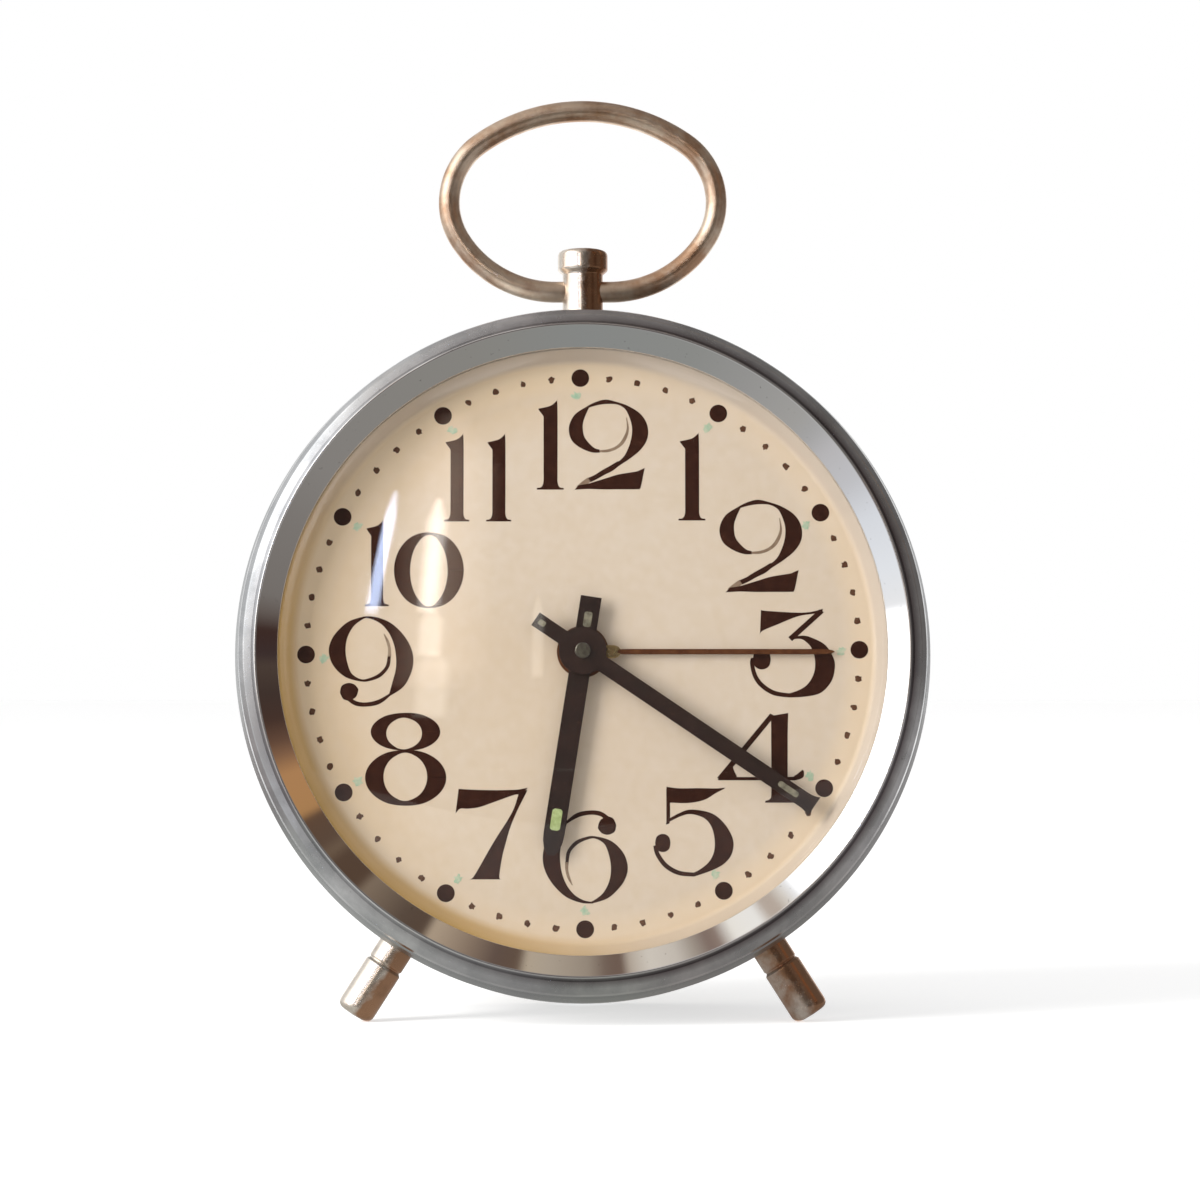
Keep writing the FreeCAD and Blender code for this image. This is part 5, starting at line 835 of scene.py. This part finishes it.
# Hands: stamped from thin brass sheet and sprayed with near-black lacquer that has browned at the edges. The
# hour hand is pressed on its wheel, the minute hand on the centre arbor, each with a slot filled with pale
# green lume.
def plate(stations, turn, front, thick=0.3, edge=0.07):
    """A flat stamping along a line from the clock's axis: at each distance out it has a half width, and its
    cross section is a low box with bevelled front edges. It is drawn towards 12 and turned clockwise."""
    out, half = np.asarray(stations, dtype=float).T
    slim = np.maximum(half - edge, 0.3 * half)
    across = np.stack([-half, -half, -slim, slim, half, half], -1)
    depth = np.broadcast_to(front + np.array([thick, edge, 0, 0, edge, thick]), across.shape)
    a = math.radians(turn)
    x = across * math.cos(a) + out[:, None] * math.sin(a)
    z = -across * math.sin(a) + out[:, None] * math.cos(a)
    n = len(out)
    caps = np.array([[0, 1, 2, 3], [0, 3, 4, 5], [6 * n - 6, 6 * n - 5, 6 * n - 4, 6 * n - 3],
                     [6 * n - 6, 6 * n - 3, 6 * n - 2, 6 * n - 1]])
    points = in_clock(np.stack([x, depth, z], -1).reshape(-1, 3))
    return points, np.concatenate([quads(n, 6, False, True), caps])


def hand_outline(length, width, tail, tail_width, hub, tip):
    """Half widths from the tail's end to the tip: the arm's, the hub's circle, and a soft fillet between
    them."""
    blend, near_hub = 0.9, hub + 1.5
    out = np.unique(np.concatenate([
        np.linspace(-tail, -near_hub, 10), np.linspace(-near_hub, near_hub, 73),
        np.linspace(near_hub, length, 60), [s for s, _ in tip]]))
    arm = np.where(out < 0, tail_width / 2, width / 2)
    reach = np.interp(out, [s for s, _ in tip], [w for _, w in tip])
    arm = np.where(out > tip[0][0], reach, arm)
    disc = np.sqrt(np.clip(hub ** 2 - out ** 2, 0, None))
    soft = np.clip(0.5 + 0.5 * (disc - arm) / blend, 0, 1)
    half = arm * (1 - soft) + disc * soft + blend * soft * (1 - soft) * 0.5
    return np.stack([out, np.where(np.abs(out) < near_hub, half, arm)], -1)


lacquer = finish_of("hand_lacquer")
browning = mottled(lacquer, (3, 5, 2.0), 0.35, 0.7)
lacquer_tone = mixed(lacquer, browning, colour(34, 20, 16), colour(46, 28, 22))
flecks = mottled(lacquer, (0.4, 4, 5.0), 0.62, 0.72, 0, 0.6)
lacquer_tone = mixed(lacquer, flecks, lacquer_tone, colour(96, 66, 56))
coated(lacquer, lacquer_tone, mottled(lacquer, (0.8, 4, 7.0), 0.3, 0.7, 0.38, 0.55),
       raised(lacquer, patches(lacquer, 0.3, 3, 1.0), 0.006), **{"Specular IOR Level": 0.3})

minute_turn, hour_turn, alarm_turn = 124.1, 188.9, 90.0
minute_tip = [(37.6, 1.15), (38.2, 1.17), (38.8, 1.26), (39.2, 1.38), (39.6, 1.58)]
hour_tip = [(26.2, 1.5), (27.4, 1.42), (28.4, 1.15), (29.0, 0.82), (29.4, 0.5)]
piece("minute_hand_stamped", plate(hand_outline(39.6, 2.3, 8.1, 2.15, 3.4, minute_tip), minute_turn, -2.75),
      "hand_arbor", lacquer, stands_for=["minute_hand"])
piece("hour_hand_stamped", plate(hand_outline(29.4, 3.0, 7.9, 3.0, 3.3, hour_tip), hour_turn, -1.8),
      "hour_display", lacquer, stands_for=["hour_hand"])


def lozenge(middle, length, width, turn, front):
    """A thin filling in a hand's slot: half widths of a long rounded slot, the square root of 1 - s^16 from
    s = -1 at one end to s = 1 at the other."""
    s = np.linspace(-1, 1, 15)
    half = 0.5 * width * np.clip(1 - np.abs(s) ** 16, 0.3, 1) ** 0.5
    return plate(np.stack([middle + 0.5 * length * s, half], -1), turn, front, thick=0.05, edge=0.01)


pale_lume = lume("pale_lume", colour(194, 208, 148), colour(164, 180, 118), 0.8, 1.0)
aged_lume = lume("aged_lume", colour(150, 144, 122), colour(104, 98, 82), 0.9, 3.0)
for hand, turn, front, body, slots in (
        ("hour", hour_turn, -1.815, "hour_display", (("hand", 24.3, 3.1, 1.45, pale_lume),
                                                     ("tail", -4.6, 2.2, 1.15, aged_lume))),
        ("minute", minute_turn, -2.765, "hand_arbor", (("hand", 35.2, 3.3, 0.85, aged_lume),
                                                       ("tail", -7.0, 1.1, 0.8, aged_lume)))):
    for end, middle, length, width, filling in slots:
        piece(f"{hand}_{end}_lume", lozenge(middle, length, width, turn, front), body, filling)

needle_lacquer = ink("needle_lacquer", colour(82, 44, 22), colour(112, 70, 40), 0.7)
root_brass = plated("root_brass", colour(206, 184, 138), colour(176, 150, 104), 0.22, 0.34, 2.0, 0.004,
                    0.3, 2.0)
needle = [(5.0, 0.30), (5.8, 0.375), (34.5, 0.375), (35.5, 0.25), (35.9, 0.05)]
piece("alarm_hand_needle", plate(needle, alarm_turn, -0.96), "alarm_display",
      needle_lacquer, stands_for=["alarm_hand"])
root = [(3.3, 0.95), (4.6, 0.9), (5.1, 0.7), (5.35, 0.4)]
piece("alarm_hand_root", plate(root, alarm_turn, -0.955), "alarm_display", root_brass,
      stands_for=["alarm_hand"])
hub_out = np.linspace(-3.69, 3.69, 49)
hub_half = np.sqrt(3.7 ** 2 - hub_out ** 2)
piece("alarm_hand_hub", plate(np.stack([hub_out, hub_half], -1), alarm_turn, -0.95),
      "alarm_display", needle_lacquer, stands_for=["alarm_hand"])
arbor_tarnish = plated("arbor_tarnish", colour(128, 124, 112), colour(96, 92, 82), 0.34, 0.5, 0.8, 0.01,
                       0.6, 4.0)
arbor_end = rounded([(0, -3.34), (0.98, -3.32, 0.12), (1.12, -3.2, 0.08), (1.12, -2.9), (0, -2.9)])
piece("arbor_end", turned(arbor_end, sides=40, closed=False), "hand_arbor", arbor_tarnish)


# Movement: two brass plates on five pillars, the going train, the alarm train and the motion work, all
# blanked, cut and turned parts. They keep the shapes of the frame, and get rolled brass, cut brass and
# polished steels.
def dressed(finish, *nodes):
    """Puts a finish on nodes that keep the frame's own shape."""
    for name in nodes:
        mesh = frame["nodes"][name].data
        mesh.materials.clear()
        mesh.materials.append(finish)


def bare(name, first, second, smooth, rough, grain, way, stain, seed):
    """Bare metal: a fine grain drawn one way, soft tone changes, and stains where oil and fingers have
    been."""
    metal = finish_of(name)
    lines = patches(metal, grain, 4, seed, way)
    tone = mixed(metal, mottled(metal, (5, 5, seed + 2), 0.35, 0.68), first, second)
    if stain:
        stains = mottled(metal, (2.2, 6, seed + 5), 0.58, 0.72, 0, stain)
        tone = mixed(metal, stains, tone, darker(second, 0.45))
    gloss = between(metal, lines, 0.3, 0.7, smooth, rough)
    coated(metal, tone, gloss, raised(metal, lines, 0.004), metallic=1.0)
    return metal


dressed(bare("rolled_brass", colour(214, 182, 112), colour(190, 154, 88), 0.22, 0.38,
             0.35, (12, 1, 1), 0.5, 1),
        "front_plate", "rear_plate", "case_brackets", "plate_pillars")
dressed(bare("cut_brass", colour(224, 192, 118), colour(204, 168, 96), 0.16, 0.30, 0.3, (1, 1, 1), 0.3, 3),
        "centre_wheel", "third_wheel", "fourth_wheel", "escape_wheel", "great_wheel", "minute_wheel",
        "hour_wheel", "alarm_wheel", "alarm_great_wheel", "alarm_escape_wheel", "balance_wheel",
        "hairspring_stud", "cannon_pinion")
dressed(bare("turned_steel", colour(186, 188, 190), colour(156, 158, 162), 0.14, 0.28, 0.25, (1, 9, 1), 0, 5),
        "centre_arbor", "going_winding_arbor", "alarm_winding_arbor", "alarm_set_arbor", "pallet_lever",
        "regulator_lever", "going_click", "alarm_click", "alarm_hammer")
dressed(bare("blued_steel", colour(84, 96, 136), colour(58, 66, 104), 0.18, 0.30, 0.3, (6, 1, 1), 0.2, 7),
        "going_mainspring", "alarm_mainspring", "hairspring", "hand_friction_spring", "alarm_release_spring")
dressed(bare("screw_steel", colour(170, 170, 168), colour(138, 138, 138), 0.20, 0.34,
             0.25, (1, 1, 5), 0.2, 9),
        "pillar_nuts", "movement_screws", "balance_screws", "foot_nuts", "handle_stud_nut", "bell_screw",
        "cover_posts", "cover_screws")


# Bell and back: a plated steel bell dish on a post inside the drum, and a pressed steel cover with a raised
# panel and the regulator's slot, held by three screws.
dressed(plated("bell_plate", colour(198, 198, 194), colour(176, 176, 172), 0.16, 0.26, 8, 0.0006, 0.3, 3),
        "bell", "bell_post")
dressed(plated("cover_steel", colour(200, 199, 195), colour(178, 177, 173), 0.26, 0.34, 14, 0.0004, 0.4, 6),
        "back_cover")


# Keys, knobs and button: two winding keys stamped from brass and screwed on their arbors, two nickelled
# setting knobs and the alarm's stop button, all at the back where the hand reaches them.
dressed(bare("key_brass", colour(206, 172, 104), colour(172, 136, 78), 0.24, 0.42, 0.6, (1, 1, 1), 0.6, 11),
        "going_key", "alarm_key")
knob_nickel = plated("knob_nickel", colour(206, 200, 190), colour(176, 164, 148), 0.18, 0.28, 3.0, 0.0008,
                     0.4, 8.0)
dressed(knob_nickel, "alarm_stop_knob")


def knurled(outline, foot, teeth, depth, inside, low, high):
    """A turned knob whose rim is cut with straight teeth: r (1 - depth (1 - cos teeth t) / 2) outside a
    radius and between two heights."""
    sides = 6 * teeth
    turn = np.linspace(0, 2 * math.pi, sides, endpoint=False)[:, None]
    rim = (outline[:, 0] > inside) & (outline[:, 1] > low) & (outline[:, 1] < high)
    radius = outline[None, :, 0] * (1 - rim[None] * depth * 0.5 * (1 - np.cos(teeth * turn)))
    points = np.stack([foot[0] + radius * np.cos(turn), np.broadcast_to(outline[None, :, 1], radius.shape),
                       foot[1] + radius * np.sin(turn)], -1)
    return in_clock(points.reshape(-1, 3)), quads(sides, len(outline), True, False)


knob_outline = rounded([(0, 40.0), (2.71, 40.0, 0.1), (2.71, 41.8, 0.1), (4.5, 41.8, 0.1), (5.0, 42.3, 0.15),
                        (5.0, 45.8, 0.3), (4.4, 46.3, 0.3), (0, 46.4)])
for knob, foot, body in (("hand_set_knob", (0, 0), "hand_arbor"),
                         ("alarm_set_knob", (13.64, 3.65), "alarm_setter")):
    piece(knob + "_knurled", knurled(knob_outline, foot, 40, 0.045, 4.3, 42.35, 45.75), body,
          knob_nickel, stands_for=[knob])
